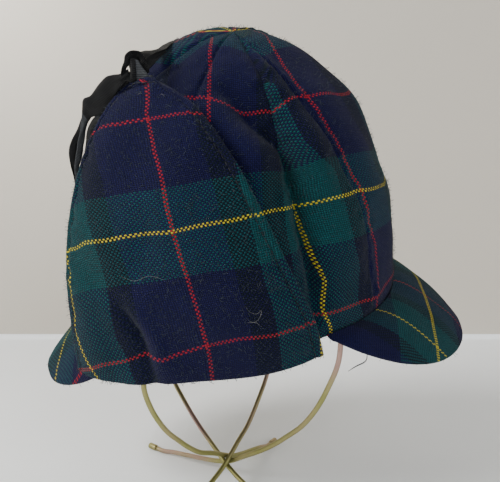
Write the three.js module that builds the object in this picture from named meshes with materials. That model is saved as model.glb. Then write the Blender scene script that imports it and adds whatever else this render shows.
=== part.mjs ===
// A deerstalker hat of woven wool tartan, resting on a plain folding wire hat stand.
// Millimetres, +Z up. The hat faces -Y, and the wearer's right side is at -X.
// The hat is a crown of eight gores, two stitched peaks and two ear flaps folded up against
// the crown, whose ribbon ties meet in a knot beside the tip of the right flap.
// The stand is two wire loops that cross at the top and at the base, with a cap on each foot.
import * as THREE from 'three';

// Crown, measured outside the cloth
const CROWN_LENGTH = 202.8;
const CROWN_WIDTH = 174.4;
const CROWN_HEIGHT = 166.3;
const RIM_DROP = 16;
const CROWN_CLOTH = 2.5;
const GORE_PUFF = 5;
const CREASE_DEPTH = 9;
const CREASE_WIDTH = 11;

// Peaks
const PEAK_CLOTH = 3.2;
const FRONT_PEAK_REACH = 62;
const FRONT_PEAK_SLOPE_ANGLE = 41;
const BACK_PEAK_REACH = 64.5;
const BACK_PEAK_SLOPE_ANGLE = 41;
const FRONT_PEAK_HALF_ANGLE = 58;
const BACK_PEAK_HALF_ANGLE = 50;
const PEAK_CAMBER = 4;
const PEAK_SIDE_ANGLE = 16;

// Ear flaps
const FLAP_CLOTH = 2.6;
const FLAP_STANDOFF = 22;
const FLAP_TURN = 7;
const FLAP_DENT_DEPTH = 4;
const FLAP_DENT_WIDTH = 10;

// Ribbon ties and their knot
const RIBBON_WIDTH = 9;
const RIBBON_CLOTH = 1.2;
const KNOT_LENGTH = 13;
const KNOT_WIDTH = 11;
const KNOT_HEIGHT = 11;

// Wire stand
const WIRE = 3.4;
const STAND_HEIGHT = 291;
const INNER_LOOP_CLEARANCE = 11.9;
const OUTER_LOOP_CLEARANCE = 6.2;
const INNER_LOOP_HALF_WIDTH = CROWN_LENGTH / 2 - CROWN_CLOTH - INNER_LOOP_CLEARANCE;
const OUTER_LOOP_HALF_WIDTH = CROWN_WIDTH / 2 - CROWN_CLOTH - OUTER_LOOP_CLEARANCE;
const OUTER_LOOP_SQUEEZE = 8;
const CROSSING_HEIGHT = 17.5;
const CROSSING_STEP = 4.9;
const INNER_LOOP_SPLAYS = [5.5, 5.5];
const OUTER_LOOP_SPLAYS = [2.8, 9.5];
const INNER_LOOP_BEARING = 56;
const OUTER_LOOP_BEARING = 145;
const LOOP_CROWN = 0.8;
const INNER_FOOT_REACH = 76;
const OUTER_FOOT_REACH = 62;
const INNER_FOOT_TURNS = [11, 3];
const OUTER_FOOT_TURNS = [-6, 6];
const CAP_LENGTH = 8;
const CAP_RADIUS = 2.4;

// How the hat sits on the stand
const HAT_FORWARD = 12;
const HAT_SIDE = 5.6;
const HAT_PITCH = -3;
const HAT_ROLL = -16;

// The gap that touching pieces keep
const SEAM_GAP = 0.3;

// Bearings round the hat are in degrees: 0 at the front, 90 at the wearer's right, 180 behind.
// The crown's profile is a dome whose side walls rise steeply: both exponents shape its curve.
const DOME_FLARE = 1.1;
const DOME_RISE = 0.8;
// The gores meet a little in front and to the right of the crown's middle (shares of its half sizes).
const POLE_FORWARD = 0.08;
const POLE_RIGHT = 0.16;

// Each gore: the bearing of its first seam at the rim, how far that seam leans round towards
// the top, how deep the seam sinks and how far the gore puffs out from it (shares of GORE_PUFF),
// and its number of columns.
const GORES = [
  { seam: -36, lean: -27, sink: 0.15, puff: 0.35, columns: 10 },
  { seam: 36, lean: 27, sink: 0.15, puff: 0.9, columns: 5 },
  { seam: 62, lean: 4, sink: 0.5, puff: 0.3, columns: 7 },
  { seam: 107, lean: 0, sink: 0.5, puff: 0.2, columns: 6 },
  { seam: 150, lean: 0, sink: 0.5, puff: 0.8, columns: 8 },
  { seam: 210, lean: 0, sink: 0.5, puff: 0.2, columns: 6 },
  { seam: 253, lean: 0, sink: 0.5, puff: 0.3, columns: 7 },
  { seam: 298, lean: -4, sink: 0.5, puff: 0.9, columns: 5 },
];
const CROWN_ROWS = 18;

// The crease that runs down the crown from beside the flap's tip to its front corner.
// rise is a share of the crown's height over the rim, depth a share of CREASE_DEPTH.
const CROWN_CREASE = [
  { bearing: 93, rise: 0.86, depth: 0.1 },
  { bearing: 82, rise: 0.825, depth: 0.5 },
  { bearing: 74.5, rise: 0.765, depth: 0.9 },
  { bearing: 66.5, rise: 0.708, depth: 1.0 },
  { bearing: 63.5, rise: 0.666, depth: 1.0 },
  { bearing: 64, rise: 0.56, depth: 0.9 },
  { bearing: 63, rise: 0.41, depth: 0.75 },
  { bearing: 61.5, rise: 0.16, depth: 0.5 },
  { bearing: 61, rise: 0.04, depth: 0.1 },
];

// A peak's ends head less far round than the crown's edge there.
const PEAK_FAN = 0.65;

// Reach of a peak from its middle (along 0) to its end (along 1), as a share of its full reach.
const PEAK_OUTLINE = [
  { along: 0, reach: 1.0 },
  { along: 0.17, reach: 0.98 },
  { along: 0.34, reach: 0.92 },
  { along: 0.51, reach: 0.8 },
  { along: 0.68, reach: 0.6 },
  { along: 0.85, reach: 0.33 },
  { along: 1, reach: 0.06 },
];

// The ear flap from its lower fold (along 0) to its tip (along 1). Heights are shares of
// CROWN_HEIGHT, stand-offs shares of FLAP_STANDOFF, and sag a share of FLAP_TURN.
const FLAP_SECTIONS = [
  {
    along: 0, front: 61, frontUp: -0.044, rear: 146, rearUp: -0.163,
    frontOff: 0.1, midOff: 0, rearOff: 1, sag: -0.25,
  },
  {
    along: 0.15, front: 63.8, frontUp: 0.105, rear: 148, rearUp: 0,
    frontOff: 0.11, midOff: 0, rearOff: 0.87, sag: 0,
  },
  {
    along: 0.35, front: 70.4, frontUp: 0.3, rear: 150, rearUp: 0.2,
    frontOff: 0.12, midOff: 0.02, rearOff: 0.73, sag: 0,
  },
  {
    along: 0.55, front: 77.2, frontUp: 0.493, rear: 150, rearUp: 0.42,
    frontOff: 0.12, midOff: 0.1, rearOff: 0.59, sag: 0,
  },
  {
    along: 0.72, front: 84.5, frontUp: 0.643, rear: 150, rearUp: 0.595,
    frontOff: 0.13, midOff: 0.14, rearOff: 0.46, sag: 0,
  },
  {
    along: 0.86, front: 96, frontUp: 0.763, rear: 148, rearUp: 0.712,
    frontOff: 0.18, midOff: 0.18, rearOff: 0.37, sag: 0.2,
  },
  {
    along: 0.95, front: 108, frontUp: 0.81, rear: 145, rearUp: 0.78,
    frontOff: 0.24, midOff: 0.25, rearOff: 0.32, sag: 0.3,
  },
  {
    along: 1, front: 121, frontUp: 0.836, rear: 139, rearUp: 0.818,
    frontOff: 0.29, midOff: 0.3, rearOff: 0.31, sag: 0.2,
  },
];
const FLAP_COLUMNS = 12;
const FLAP_ROWS = 14;

// The dent where the flap's free rear part leaves its sewn fold.
const FLAP_DENT = [
  { bearing: 124, rise: 0.04, depth: 1.0 },
  { bearing: 128, rise: 0.12, depth: 0.9 },
  { bearing: 134, rise: 0.24, depth: 0.6 },
  { bearing: 139, rise: 0.36, depth: 0.1 },
];

// Side view of a loop from its crossing at the base to its top: shares of its half width
// and of STAND_HEIGHT.
const LOOP_PROFILE = [
  { out: 0, up: 0.059 },
  { out: 0.16, up: 0.088 },
  { out: 0.32, up: 0.118 },
  { out: 0.45, up: 0.147 },
  { out: 0.56, up: 0.176 },
  { out: 0.67, up: 0.207 },
  { out: 0.76, up: 0.242 },
  { out: 0.84, up: 0.283 },
  { out: 0.91, up: 0.33 },
  { out: 0.95, up: 0.36 },
  { out: 0.975, up: 0.39 },
  { out: 0.985, up: 0.44 },
  { out: 0.965, up: 0.52 },
  { out: 0.91, up: 0.61 },
  { out: 0.82, up: 0.71 },
  { out: 0.69, up: 0.81 },
  { out: 0.52, up: 0.9 },
  { out: 0.3, up: 0.97 },
];

// Side view of a foot from the crossing outwards: shares of its reach and of CROSSING_HEIGHT.
const FOOT_PROFILE = [
  { out: 0.13, up: 0.79 },
  { out: 0.33, up: 0.6 },
  { out: 0.55, up: 0.44 },
  { out: 0.76, up: 0.28 },
  { out: 0.9, up: 0.14 },
];

// Ribbon routes, chosen by hand in the hat's own frame: x, y, z and the ribbon's twist in degrees.
// They were drawn on a crown of ROUTE_CROWN's width, length and height, and stretch with it.
const ROUTE_CROWN = [174.4, 202.8, 166.3];
const TIE_RIGHT_ROUTE = [
  [-45.5, 33.5, 146.5, 0],
  [-45, 34.5, 148, 0],
  [-44, 36, 149.5, 0],
];
const TIE_LEFT_ROUTE = [
  [-36.5, 38.5, 155, 0],
  [-30, 36, 156, 0],
  [-22, 34, 156.7, 0],
  [-12, 32, 158.6, 0],
  [0, 31, 159.6, 0],
  [12, 31, 158.4, 0],
  [24, 32, 155.2, 0],
  [34, 33, 152.5, 0],
  [42, 34, 149.5, 0],
];
const TIE_TAIL_ROUTE = [
  [-42.3, 49.1, 150.8, 10],
  [-41.3, 56.5, 147, 20],
  [-39, 62, 144, 25],
  [-36.5, 67, 141, 30],
  [-34, 72, 137.5, 30],
  [-32, 76, 134, 45],
  [-31, 79, 129, 60],
  [-30, 83, 121, 75],
  [-29, 87, 111, 80],
  [-29, 91, 101, 80],
  [-31, 94, 93, 80],
  [-33, 95, 84, 80],
  [-34, 94, 76, 80],
];
const TIE_BOW_ROUTE = [
  [-37.3, 47.5, 151.5, 20],
  [-32.5, 54, 147.8, 25],
  [-29, 61, 144, 30],
  [-26.5, 68, 140, 30],
  [-24, 76, 134.5, 35],
  [-22, 83, 127.5, 40],
  [-20, 90, 118.5, 40],
  [-19, 96, 108, 30],
  [-19, 98.5, 97, 20],
  [-20, 99, 86, 10],
  [-21.5, 97, 76, 0],
  [-23, 94, 71.5, 0],
  [-24.5, 90, 77, 0],
  [-24.5, 86.5, 88, 0],
  [-25, 83.5, 99, 10],
  [-26.5, 80, 109, 20],
  [-28.5, 75.5, 118.5, 20],
  [-30.5, 70, 127.5, 20],
  [-31.5, 64, 135.5, 10],
  [-35, 57, 143.2, 0],
  [-40.5, 48, 148.6, 0],
];
const KNOT_PLACE = [-42, 43.5, 153];

const rad = THREE.MathUtils.degToRad;
const mix = THREE.MathUtils.lerp;
const smoothstep = THREE.MathUtils.smoothstep;

// One column of a table, read smoothly at a place between its rows.
function readTable(table, place, column, at) {
  let row = 0;
  while (row < table.length - 2 && table[row + 1][place] < at) {
    row += 1;
  }
  const first = table[Math.max(row - 1, 0)];
  const low = table[row];
  const high = table[row + 1];
  const last = table[Math.min(row + 2, table.length - 1)];
  const span = high[place] - low[place];
  const share = THREE.MathUtils.clamp((at - low[place]) / span, 0, 1);
  const startSlope = (high[column] - first[column]) / (high[place] - first[place]);
  const endSlope = (last[column] - low[column]) / (last[place] - low[place]);
  const s2 = share * share;
  const s3 = s2 * share;
  return (2 * s3 - 3 * s2 + 1) * low[column] + (s3 - 2 * s2 + share) * span * startSlope
    + (3 * s2 - 2 * s3) * high[column] + (s3 - s2) * span * endSlope;
}

// Height of the crown's lower edge: level at the front, lower behind.
function rimHeight(bearing) {
  const round = Math.abs(THREE.MathUtils.euclideanModulo(bearing + 180, 360) - 180);
  return -RIM_DROP * smoothstep(round, 50, 150);
}

// How far out the dome is at a share of its rise, and the reverse.
function domeReach(rise) {
  const level = THREE.MathUtils.clamp(rise, 0, 1) ** (1 / DOME_RISE);
  return Math.cos(Math.asin(level)) ** DOME_FLARE;
}

function domeRise(reach) {
  const level = Math.sin(Math.acos(Math.min(reach, 1) ** (1 / DOME_FLARE)));
  return level ** DOME_RISE;
}

// The point of the plain dome at a bearing and a share of the rise from the rim to the top.
function domePoint(bearing, rise) {
  const reach = domeReach(rise);
  const low = rimHeight(bearing);
  return new THREE.Vector3(
    -Math.sin(rad(bearing)) * reach * CROWN_WIDTH / 2,
    -Math.cos(rad(bearing)) * reach * CROWN_LENGTH / 2,
    low + rise * (CROWN_HEIGHT - low),
  );
}

function domeAtHeight(bearing, height) {
  const low = rimHeight(bearing);
  return domePoint(bearing, (height - low) / (CROWN_HEIGHT - low));
}

// The dome's outward direction, from two short steps over its surface.
function domeNormal(bearing, height) {
  const turn = domeAtHeight(bearing + 0.5, height).sub(domeAtHeight(bearing - 0.5, height));
  const top = Math.min(height + 0.5, CROWN_HEIGHT - 0.2);
  const climb = domeAtHeight(bearing, top).sub(domeAtHeight(bearing, top - 1));
  return climb.cross(turn).normalize();
}

// How deep a fold cuts in at a point: deepest on its line, and fading over its width.
function foldDepth(point, line, depth, width) {
  const closest = new THREE.Vector3();
  let deepest = 0;
  for (let i = 0; i + 1 < line.length; i += 1) {
    const segment = new THREE.Line3(line[i].point, line[i + 1].point);
    const share = segment.closestPointToPointParameter(point, true);
    const away = segment.at(share, closest).distanceTo(point) / width;
    const here = depth * mix(line[i].depth, line[i + 1].depth, share);
    deepest = Math.max(deepest, here * Math.exp(-away * away));
  }
  return deepest;
}

function foldLine(table) {
  return table.map((row) => ({ point: domePoint(row.bearing, row.rise), depth: row.depth }));
}

// Directions at right angles to a grid of points, whose rows close into rings where asked.
function gridNormals(grid, ring) {
  const rows = grid.length;
  const columns = grid[0].length;
  return grid.map((row, j) => row.map((point, i) => {
    const before = ring ? (i + columns - 1) % columns : Math.max(i - 1, 0);
    const after = ring ? (i + 1) % columns : Math.min(i + 1, columns - 1);
    const along = row[after].clone().sub(row[before]);
    const up = grid[Math.min(j + 1, rows - 1)][i].clone().sub(grid[Math.max(j - 1, 0)][i]);
    return up.cross(along).normalize();
  }));
}

// The same grid moved along its normals, by one distance or by a function of row and column.
function offsetGrid(grid, ring, distance) {
  const normals = gridNormals(grid, ring);
  return grid.map((row, j) => row.map((point, i) => {
    const step = typeof distance === 'function' ? distance(j, i) : distance;
    return point.clone().addScaledVector(normals[j][i], step);
  }));
}

// A closed mesh from points and triangles, turned so that its faces point out.
function closedMesh(points, triangles) {
  let volume = 0;
  for (const [a, b, c] of triangles) {
    volume += points[a].dot(points[b].clone().cross(points[c]));
  }
  const faces = volume < 0 ? triangles.map(([a, b, c]) => [a, c, b]) : triangles;
  const geometry = new THREE.BufferGeometry();
  geometry.setAttribute('position', new THREE.Float32BufferAttribute(points.flatMap((p) => p.toArray()), 3));
  geometry.setIndex(faces.flat());
  geometry.computeVertexNormals();
  return geometry;
}

// A wall between two grids of points. An open patch gets four edges, and rings one lower edge,
// with a point that closes each skin at the top.
function wallBetween(outer, inner, ring) {
  const rows = outer.length;
  const columns = outer[0].length;
  const points = [...outer.flat(), ...inner.flat()];
  const triangles = [];
  const at = (skin, j, i) => (skin * rows + j) * columns + (ring ? i % columns : i);
  const quad = (a, b, c, d) => triangles.push([a, b, c], [a, c, d]);
  const last = ring ? columns : columns - 1;
  for (let i = 0; i < last; i += 1) {
    for (let j = 0; j + 1 < rows; j += 1) {
      quad(at(0, j, i), at(0, j, i + 1), at(0, j + 1, i + 1), at(0, j + 1, i));
      quad(at(1, j + 1, i), at(1, j + 1, i + 1), at(1, j, i + 1), at(1, j, i));
    }
    quad(at(1, 0, i), at(1, 0, i + 1), at(0, 0, i + 1), at(0, 0, i));
    if (!ring) {
      quad(at(0, rows - 1, i), at(0, rows - 1, i + 1), at(1, rows - 1, i + 1), at(1, rows - 1, i));
    }
  }
  if (!ring) {
    for (let j = 0; j + 1 < rows; j += 1) {
      quad(at(0, j, 0), at(0, j + 1, 0), at(1, j + 1, 0), at(1, j, 0));
      quad(at(1, j, last), at(1, j + 1, last), at(0, j + 1, last), at(0, j, last));
    }
    return closedMesh(points, triangles);
  }
  for (const skin of [0, 1]) {
    const top = points.length;
    const rim = (skin === 0 ? outer : inner)[rows - 1];
    points.push(rim.reduce((sum, p) => sum.add(p), new THREE.Vector3()).divideScalar(columns));
    for (let i = 0; i < columns; i += 1) {
      const corners = [at(skin, rows - 1, i), at(skin, rows - 1, i + 1), top];
      triangles.push(skin === 0 ? corners : corners.reverse());
    }
  }
  return closedMesh(points, triangles);
}

// A solid swept through a list of cross-sections, closed by a flat face at each end.
function sweptSolid(sections) {
  const sides = sections[0].length;
  const points = sections.flat();
  const triangles = [];
  for (let j = 0; j + 1 < sections.length; j += 1) {
    for (let i = 0; i < sides; i += 1) {
      const a = j * sides + i;
      const b = j * sides + (i + 1) % sides;
      triangles.push([a, b, b + sides], [a, b + sides, a + sides]);
    }
  }
  for (const [start, flip] of [[0, true], [(sections.length - 1) * sides, false]]) {
    for (let i = 1; i + 1 < sides; i += 1) {
      const face = [start, start + i, start + i + 1];
      triangles.push(flip ? face.reverse() : face);
    }
  }
  return closedMesh(points, triangles);
}

// Columns of the crown: the bearing at the rim, the lean, and the place inside the gore.
function crownColumns() {
  const columns = [];
  GORES.forEach((gore, index) => {
    const next = GORES[(index + 1) % GORES.length];
    const turn = index + 1 < GORES.length ? 0 : 360;
    for (let k = 0; k < gore.columns; k += 1) {
      const across = k / gore.columns;
      columns.push({
        bearing: mix(gore.seam, next.seam + turn, across),
        lean: mix(gore.lean, next.lean, across),
        relief: gore.puff * 4 * across * (1 - across) - mix(gore.sink, next.sink, across),
      });
    }
  });
  return columns;
}

// A point of the dome on a column: out is 1 at the rim and 0 where the gores meet.
function gorePoint(column, out) {
  const bearing = rad(column.bearing + column.lean * (1 - out));
  const forward = out * Math.cos(bearing) + (1 - out) * POLE_FORWARD;
  const right = out * Math.sin(bearing) + (1 - out) * POLE_RIGHT;
  const round = THREE.MathUtils.radToDeg(Math.atan2(right, forward));
  return domePoint(round, domeRise(Math.hypot(forward, right)));
}

// The crown: gores puffed out between sunken seams, with the long crease on the right.
function crownGrid() {
  const columns = crownColumns();
  const outs = [];
  for (let j = 0; j < CROWN_ROWS; j += 1) {
    outs.push(Math.cos(rad(90 * (j / CROWN_ROWS) ** 1.25)) ** DOME_FLARE);
  }
  const plain = outs.map((out) => columns.map((column) => gorePoint(column, out)));
  const crease = foldLine(CROWN_CREASE);
  return offsetGrid(plain, true, (j, i) => {
    const fade = (1 - outs[j] ** 8) * Math.min(1, outs[j] / 0.35);
    return GORE_PUFF * columns[i].relief * fade - foldDepth(plain[j][i], crease, CREASE_DEPTH, CREASE_WIDTH);
  });
}

function crownGeometry() {
  const outer = crownGrid();
  return wallBetween(outer, offsetGrid(outer, true, -CROWN_CLOTH), true);
}

// A peak: it springs from the crown's lower edge and slopes down to its curved outline, more
// steeply towards its ends.
function peakGeometry(middle, halfAngle, reach, middleSlope) {
  const columns = 22;
  const rows = 7;
  const top = [];
  for (let j = 0; j < rows; j += 1) {
    const out = j / (rows - 1);
    const row = [];
    for (let i = 0; i <= columns; i += 1) {
      const across = 2 * i / columns - 1;
      const bearing = middle + across * halfAngle;
      const height = rimHeight(bearing) + PEAK_CLOTH;
      const slope = rad(middleSlope + PEAK_SIDE_ANGLE * across * across);
      const rootGap = SEAM_GAP + PEAK_CLOTH * Math.sin(slope);
      const length = reach * readTable(PEAK_OUTLINE, 'along', 'reach', Math.abs(across));
      const root = domeAtHeight(bearing, height).addScaledVector(domeNormal(bearing, height), rootGap);
      const heading = rad(middle + across * halfAngle * PEAK_FAN);
      const camber = PEAK_CAMBER * 4 * out * (1 - out) * length / reach;
      const level = out * length * Math.cos(slope) + camber * Math.sin(slope);
      root.x -= Math.sin(heading) * level;
      root.y -= Math.cos(heading) * level;
      root.z += camber * Math.cos(slope) - out * length * Math.sin(slope);
      row.push(root);
    }
    top.push(row);
  }
  return wallBetween(top, offsetGrid(top, false, PEAK_CLOTH), false);
}

// An ear flap, folded up over the crown: side is 1 for the wearer's right and -1 for the left.
function flapGeometry(side) {
  const dent = foldLine(FLAP_DENT);
  const inner = [];
  for (let j = 0; j <= FLAP_ROWS; j += 1) {
    const along = j / FLAP_ROWS;
    const read = (column) => readTable(FLAP_SECTIONS, 'along', column, along);
    const row = [];
    for (let i = 0; i <= FLAP_COLUMNS; i += 1) {
      const across = i / FLAP_COLUMNS;
      const bearing = mix(read('front'), read('rear'), across);
      const sag = FLAP_TURN * read('sag') * 4 * across * (1 - across);
      const height = CROWN_HEIGHT * mix(read('frontUp'), read('rearUp'), across) + sag;
      const front = mix(read('frontOff'), read('midOff'), smoothstep(across, 0, 0.4));
      const standoff = FLAP_STANDOFF * mix(front, read('rearOff'), smoothstep(across, 0.45, 1.05));
      const pressed = foldDepth(domeAtHeight(bearing, height), dent, FLAP_DENT_DEPTH, FLAP_DENT_WIDTH);
      const gap = SEAM_GAP + Math.max(standoff - pressed, 0);
      row.push(domeAtHeight(bearing, height).addScaledVector(domeNormal(bearing, height), gap));
    }
    inner.push(row);
  }
  const outer = offsetGrid(inner, false, FLAP_CLOTH);
  const mirror = (grid) => grid.map((row) => row.map((p) => new THREE.Vector3(p.x * side, p.y, p.z)));
  return wallBetween(mirror(outer), mirror(inner), false);
}

// A point of a ribbon's route, or the knot's place, on the crown as it is.
function routePoint([x, y, z]) {
  const [width, length, height] = ROUTE_CROWN;
  return new THREE.Vector3(x * CROWN_WIDTH / width, y * CROWN_LENGTH / length, z * CROWN_HEIGHT / height);
}

// A flat ribbon along its route. Its face looks away from the middle of the hat, plus its twist.
function ribbonGeometry(route, steps) {
  const curve = new THREE.CatmullRomCurve3(route.map(routePoint));
  const twists = route.map((row, index) => ({ at: index / (route.length - 1), twist: row[3] }));
  const sections = [];
  for (let j = 0; j <= steps; j += 1) {
    const along = j / steps;
    const centre = curve.getPoint(along);
    const tangent = curve.getTangent(along);
    const face = centre.clone().setZ(centre.z - CROWN_HEIGHT / 2).cross(tangent).normalize();
    const twist = readTable(twists, 'at', 'twist', along);
    const wide = face.applyAxisAngle(tangent, rad(twist));
    const thick = tangent.clone().cross(wide).normalize();
    const section = [];
    for (let i = 0; i < 8; i += 1) {
      const angle = rad(45 * i + 22.5);
      const width = RIBBON_WIDTH / 2 * Math.cos(angle) / Math.cos(rad(22.5));
      const depth = RIBBON_CLOTH / 2 * Math.sin(angle) / Math.cos(rad(22.5));
      section.push(centre.clone().addScaledVector(wide, width).addScaledVector(thick, depth));
    }
    sections.push(section);
  }
  return sweptSolid(sections);
}

// One loop of the stand: x is out to the side, z is up, and y is the step sideways that lets
// its two ends pass each other at the crossing. Each side splays a little round from x, each
// foot turns by its own angle, and the hat squeezes a loop inside its crown.
function loopRoute(loop) {
  const pass = loop.passSide * (WIRE + SEAM_GAP) / 2;
  const footUp = CAP_RADIUS * Math.cos(rad(15));
  const topStep = (WIRE + SEAM_GAP) * Math.sign(loop.lift);
  const half = (side, splay, footTurn) => {
    const foot = (out, up) => new THREE.Vector3(-side * out, side * pass + out * Math.tan(rad(footTurn)), up);
    const points = [foot(loop.footReach, footUp)];
    for (const row of [...FOOT_PROFILE].reverse()) {
      const up = Math.max(row.up * (CROSSING_HEIGHT + loop.lift), footUp);
      points.push(foot(row.out * loop.footReach, up));
    }
    for (const row of LOOP_PROFILE) {
      const aside = side * pass * (1 - smoothstep(row.up, 0.2, 0.9));
      const low = loop.lift * (1 - smoothstep(row.up, 0.06, 0.13));
      const step = low + topStep * smoothstep(row.up, 0.4, 0.95);
      const tight = loop.squeeze * row.out * smoothstep(row.up, 0.31, 0.39);
      const out = row.out * loop.halfWidth;
      const round = aside - out * Math.tan(rad(splay));
      points.push(new THREE.Vector3(side * (out - tight), round, row.up * STAND_HEIGHT + step));
    }
    return points;
  };
  const [first, second] = [0, 1].map((end) => half(1 - 2 * end, loop.splays[end], loop.footTurns[end]));
  return [...first, new THREE.Vector3(0, 0, STAND_HEIGHT + topStep), ...second.reverse()];
}

function wireGeometry(route, steps) {
  const curve = new THREE.CatmullRomCurve3(route, false, 'centripetal');
  const sections = [];
  for (let j = 0; j <= steps; j += 1) {
    const centre = curve.getPointAt(j / steps);
    const tangent = curve.getTangentAt(j / steps);
    const aside = new THREE.Vector3(0, 1, 0);
    const across = tangent.clone().cross(aside).normalize();
    const beside = across.clone().cross(tangent).normalize();
    const section = [];
    for (let i = 0; i < 8; i += 1) {
      const angle = rad(45 * i + 22.5);
      section.push(centre.clone()
        .addScaledVector(across, WIRE / 2 * Math.cos(angle))
        .addScaledVector(beside, WIRE / 2 * Math.sin(angle)));
    }
    sections.push(section);
  }
  return sweptSolid(sections);
}

// The knot: a rounded lump of ribbon.
function knotGeometry() {
  const sections = [];
  for (let j = 0; j <= 8; j += 1) {
    const lengthways = rad(mix(-82, 82, j / 8));
    const section = [];
    for (let i = 0; i < 12; i += 1) {
      const angle = rad(30 * i);
      section.push(new THREE.Vector3(
        KNOT_LENGTH / 2 * Math.sin(lengthways),
        KNOT_WIDTH / 2 * Math.cos(lengthways) * Math.cos(angle),
        KNOT_HEIGHT / 2 * Math.cos(lengthways) * Math.sin(angle),
      ));
    }
    sections.push(section);
  }
  return sweptSolid(sections);
}

// A foot's end cap: a short twelve-sided sleeve with rounded ends, lying on one of its flats.
function capGeometry() {
  const sections = [];
  for (const [at, size] of [[0, 0.86], [0.1, 1], [0.9, 1], [1, 0.8]]) {
    const section = [];
    for (let i = 0; i < 12; i += 1) {
      const angle = rad(30 * i + 15);
      const radius = CAP_RADIUS * size;
      section.push(new THREE.Vector3(at * CAP_LENGTH, radius * Math.cos(angle), radius * Math.sin(angle)));
    }
    sections.push(section);
  }
  return sweptSolid(sections);
}

const wool = (color) => new THREE.MeshStandardMaterial({ color, roughness: 0.95, metalness: 0 });
const grosgrain = () => new THREE.MeshStandardMaterial({ color: '#15161a', roughness: 0.7, metalness: 0 });
const steel = () => new THREE.MeshStandardMaterial({ color: '#b3a266', roughness: 0.3, metalness: 1 });

function named(name, geometry, material) {
  const mesh = new THREE.Mesh(geometry, material);
  mesh.name = name;
  return mesh;
}

// The stand: the outer loop passes over the inner one at the base and at the top.
const stand = new THREE.Group();
const loops = [
  {
    name: 'stand_loop_inner',
    bearing: INNER_LOOP_BEARING,
    halfWidth: INNER_LOOP_HALF_WIDTH,
    squeeze: 0,
    splays: INNER_LOOP_SPLAYS,
    footReach: INNER_FOOT_REACH,
    footTurns: INNER_FOOT_TURNS,
    passSide: 1,
    lift: 0,
  },
  {
    name: 'stand_loop_outer',
    bearing: OUTER_LOOP_BEARING,
    halfWidth: OUTER_LOOP_HALF_WIDTH,
    squeeze: OUTER_LOOP_SQUEEZE,
    splays: OUTER_LOOP_SPLAYS,
    footReach: OUTER_FOOT_REACH,
    footTurns: OUTER_FOOT_TURNS,
    passSide: -1,
    lift: CROSSING_STEP,
  },
];
let foot = 1;
for (const loop of loops) {
  const frame = new THREE.Group();
  loop.route = loopRoute(loop);
  frame.rotation.z = rad(loop.bearing);
  frame.add(named(loop.name, wireGeometry(loop.route, 88), steel()));
  for (const [index, side] of [1, -1].entries()) {
    const cap = named(`stand_foot_${foot}`, capGeometry(), steel());
    const outwards = new THREE.Vector3(-side, Math.tan(rad(loop.footTurns[index])), 0).normalize();
    cap.position.copy(loop.route.at(side === 1 ? 0 : -1)).addScaledVector(outwards, SEAM_GAP);
    cap.rotation.z = Math.atan2(outwards.y, outwards.x);
    frame.add(cap);
    foot += 1;
  }
  stand.add(frame);
}

// The hat, tipped on the stand.
const hat = new THREE.Group();
const crown = named('crown', crownGeometry(), wool('#1c2a44'));
hat.add(crown);
const frontPeak = peakGeometry(0, FRONT_PEAK_HALF_ANGLE, FRONT_PEAK_REACH, FRONT_PEAK_SLOPE_ANGLE);
const backPeak = peakGeometry(180, BACK_PEAK_HALF_ANGLE, BACK_PEAK_REACH, BACK_PEAK_SLOPE_ANGLE);
hat.add(named('front_peak', frontPeak, wool('#173f42')));
hat.add(named('back_peak', backPeak, wool('#173f42')));
hat.add(named('ear_flap_right', flapGeometry(1), wool('#1b2548')));
hat.add(named('ear_flap_left', flapGeometry(-1), wool('#1b2548')));
hat.add(named('tie_right', ribbonGeometry(TIE_RIGHT_ROUTE, 4), grosgrain()));
hat.add(named('tie_left', ribbonGeometry(TIE_LEFT_ROUTE, 24), grosgrain()));
hat.add(named('tie_tail', ribbonGeometry(TIE_TAIL_ROUTE, 30), grosgrain()));
hat.add(named('tie_bow', ribbonGeometry(TIE_BOW_ROUTE, 48), grosgrain()));
const knot = named('tie_knot', knotGeometry(), grosgrain());
knot.position.copy(routePoint(KNOT_PLACE));
hat.add(knot);
hat.position.set(HAT_SIDE, -HAT_FORWARD, STAND_HEIGHT);
hat.rotation.set(rad(HAT_PITCH), rad(HAT_ROLL), 0);

// The hat comes down until the crown's lining side rests on the tops of the loops.
function restingDrop() {
  stand.updateMatrixWorld(true);
  hat.updateMatrixWorld(true);
  const caster = new THREE.Raycaster();
  crown.material.side = THREE.DoubleSide;
  let drop = Infinity;
  for (const [index, loop] of loops.entries()) {
    const curve = new THREE.CatmullRomCurve3(loop.route, false, 'centripetal');
    for (const point of curve.getSpacedPoints(120)) {
      const wire = point.applyMatrix4(stand.children[index].matrixWorld);
      if (wire.z > STAND_HEIGHT * LOOP_CROWN) {
        caster.set(wire, new THREE.Vector3(0, 0, 1));
        const [hit] = caster.intersectObject(crown);
        const tilt = Math.abs(hit.face.normal.clone().transformDirection(crown.matrixWorld).z);
        drop = Math.min(drop, hit.distance - (WIRE / 2 + SEAM_GAP) / tilt);
      }
    }
  }
  crown.material.side = THREE.FrontSide;
  return drop;
}
hat.position.z -= restingDrop();

// The whole part stands with the middle of its base at the origin.
const part = new THREE.Group();
part.add(stand, hat);
part.updateMatrixWorld(true);
const box = new THREE.Box3();
part.traverse((piece) => {
  if (piece.isMesh && !['tie_left', 'tie_tail', 'tie_bow'].includes(piece.name)) {
    box.expandByObject(piece, true);
  }
});
part.position.set(-(box.min.x + box.max.x) / 2, -(box.min.y + box.max.y) / 2, -box.min.z);

export default part;
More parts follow.
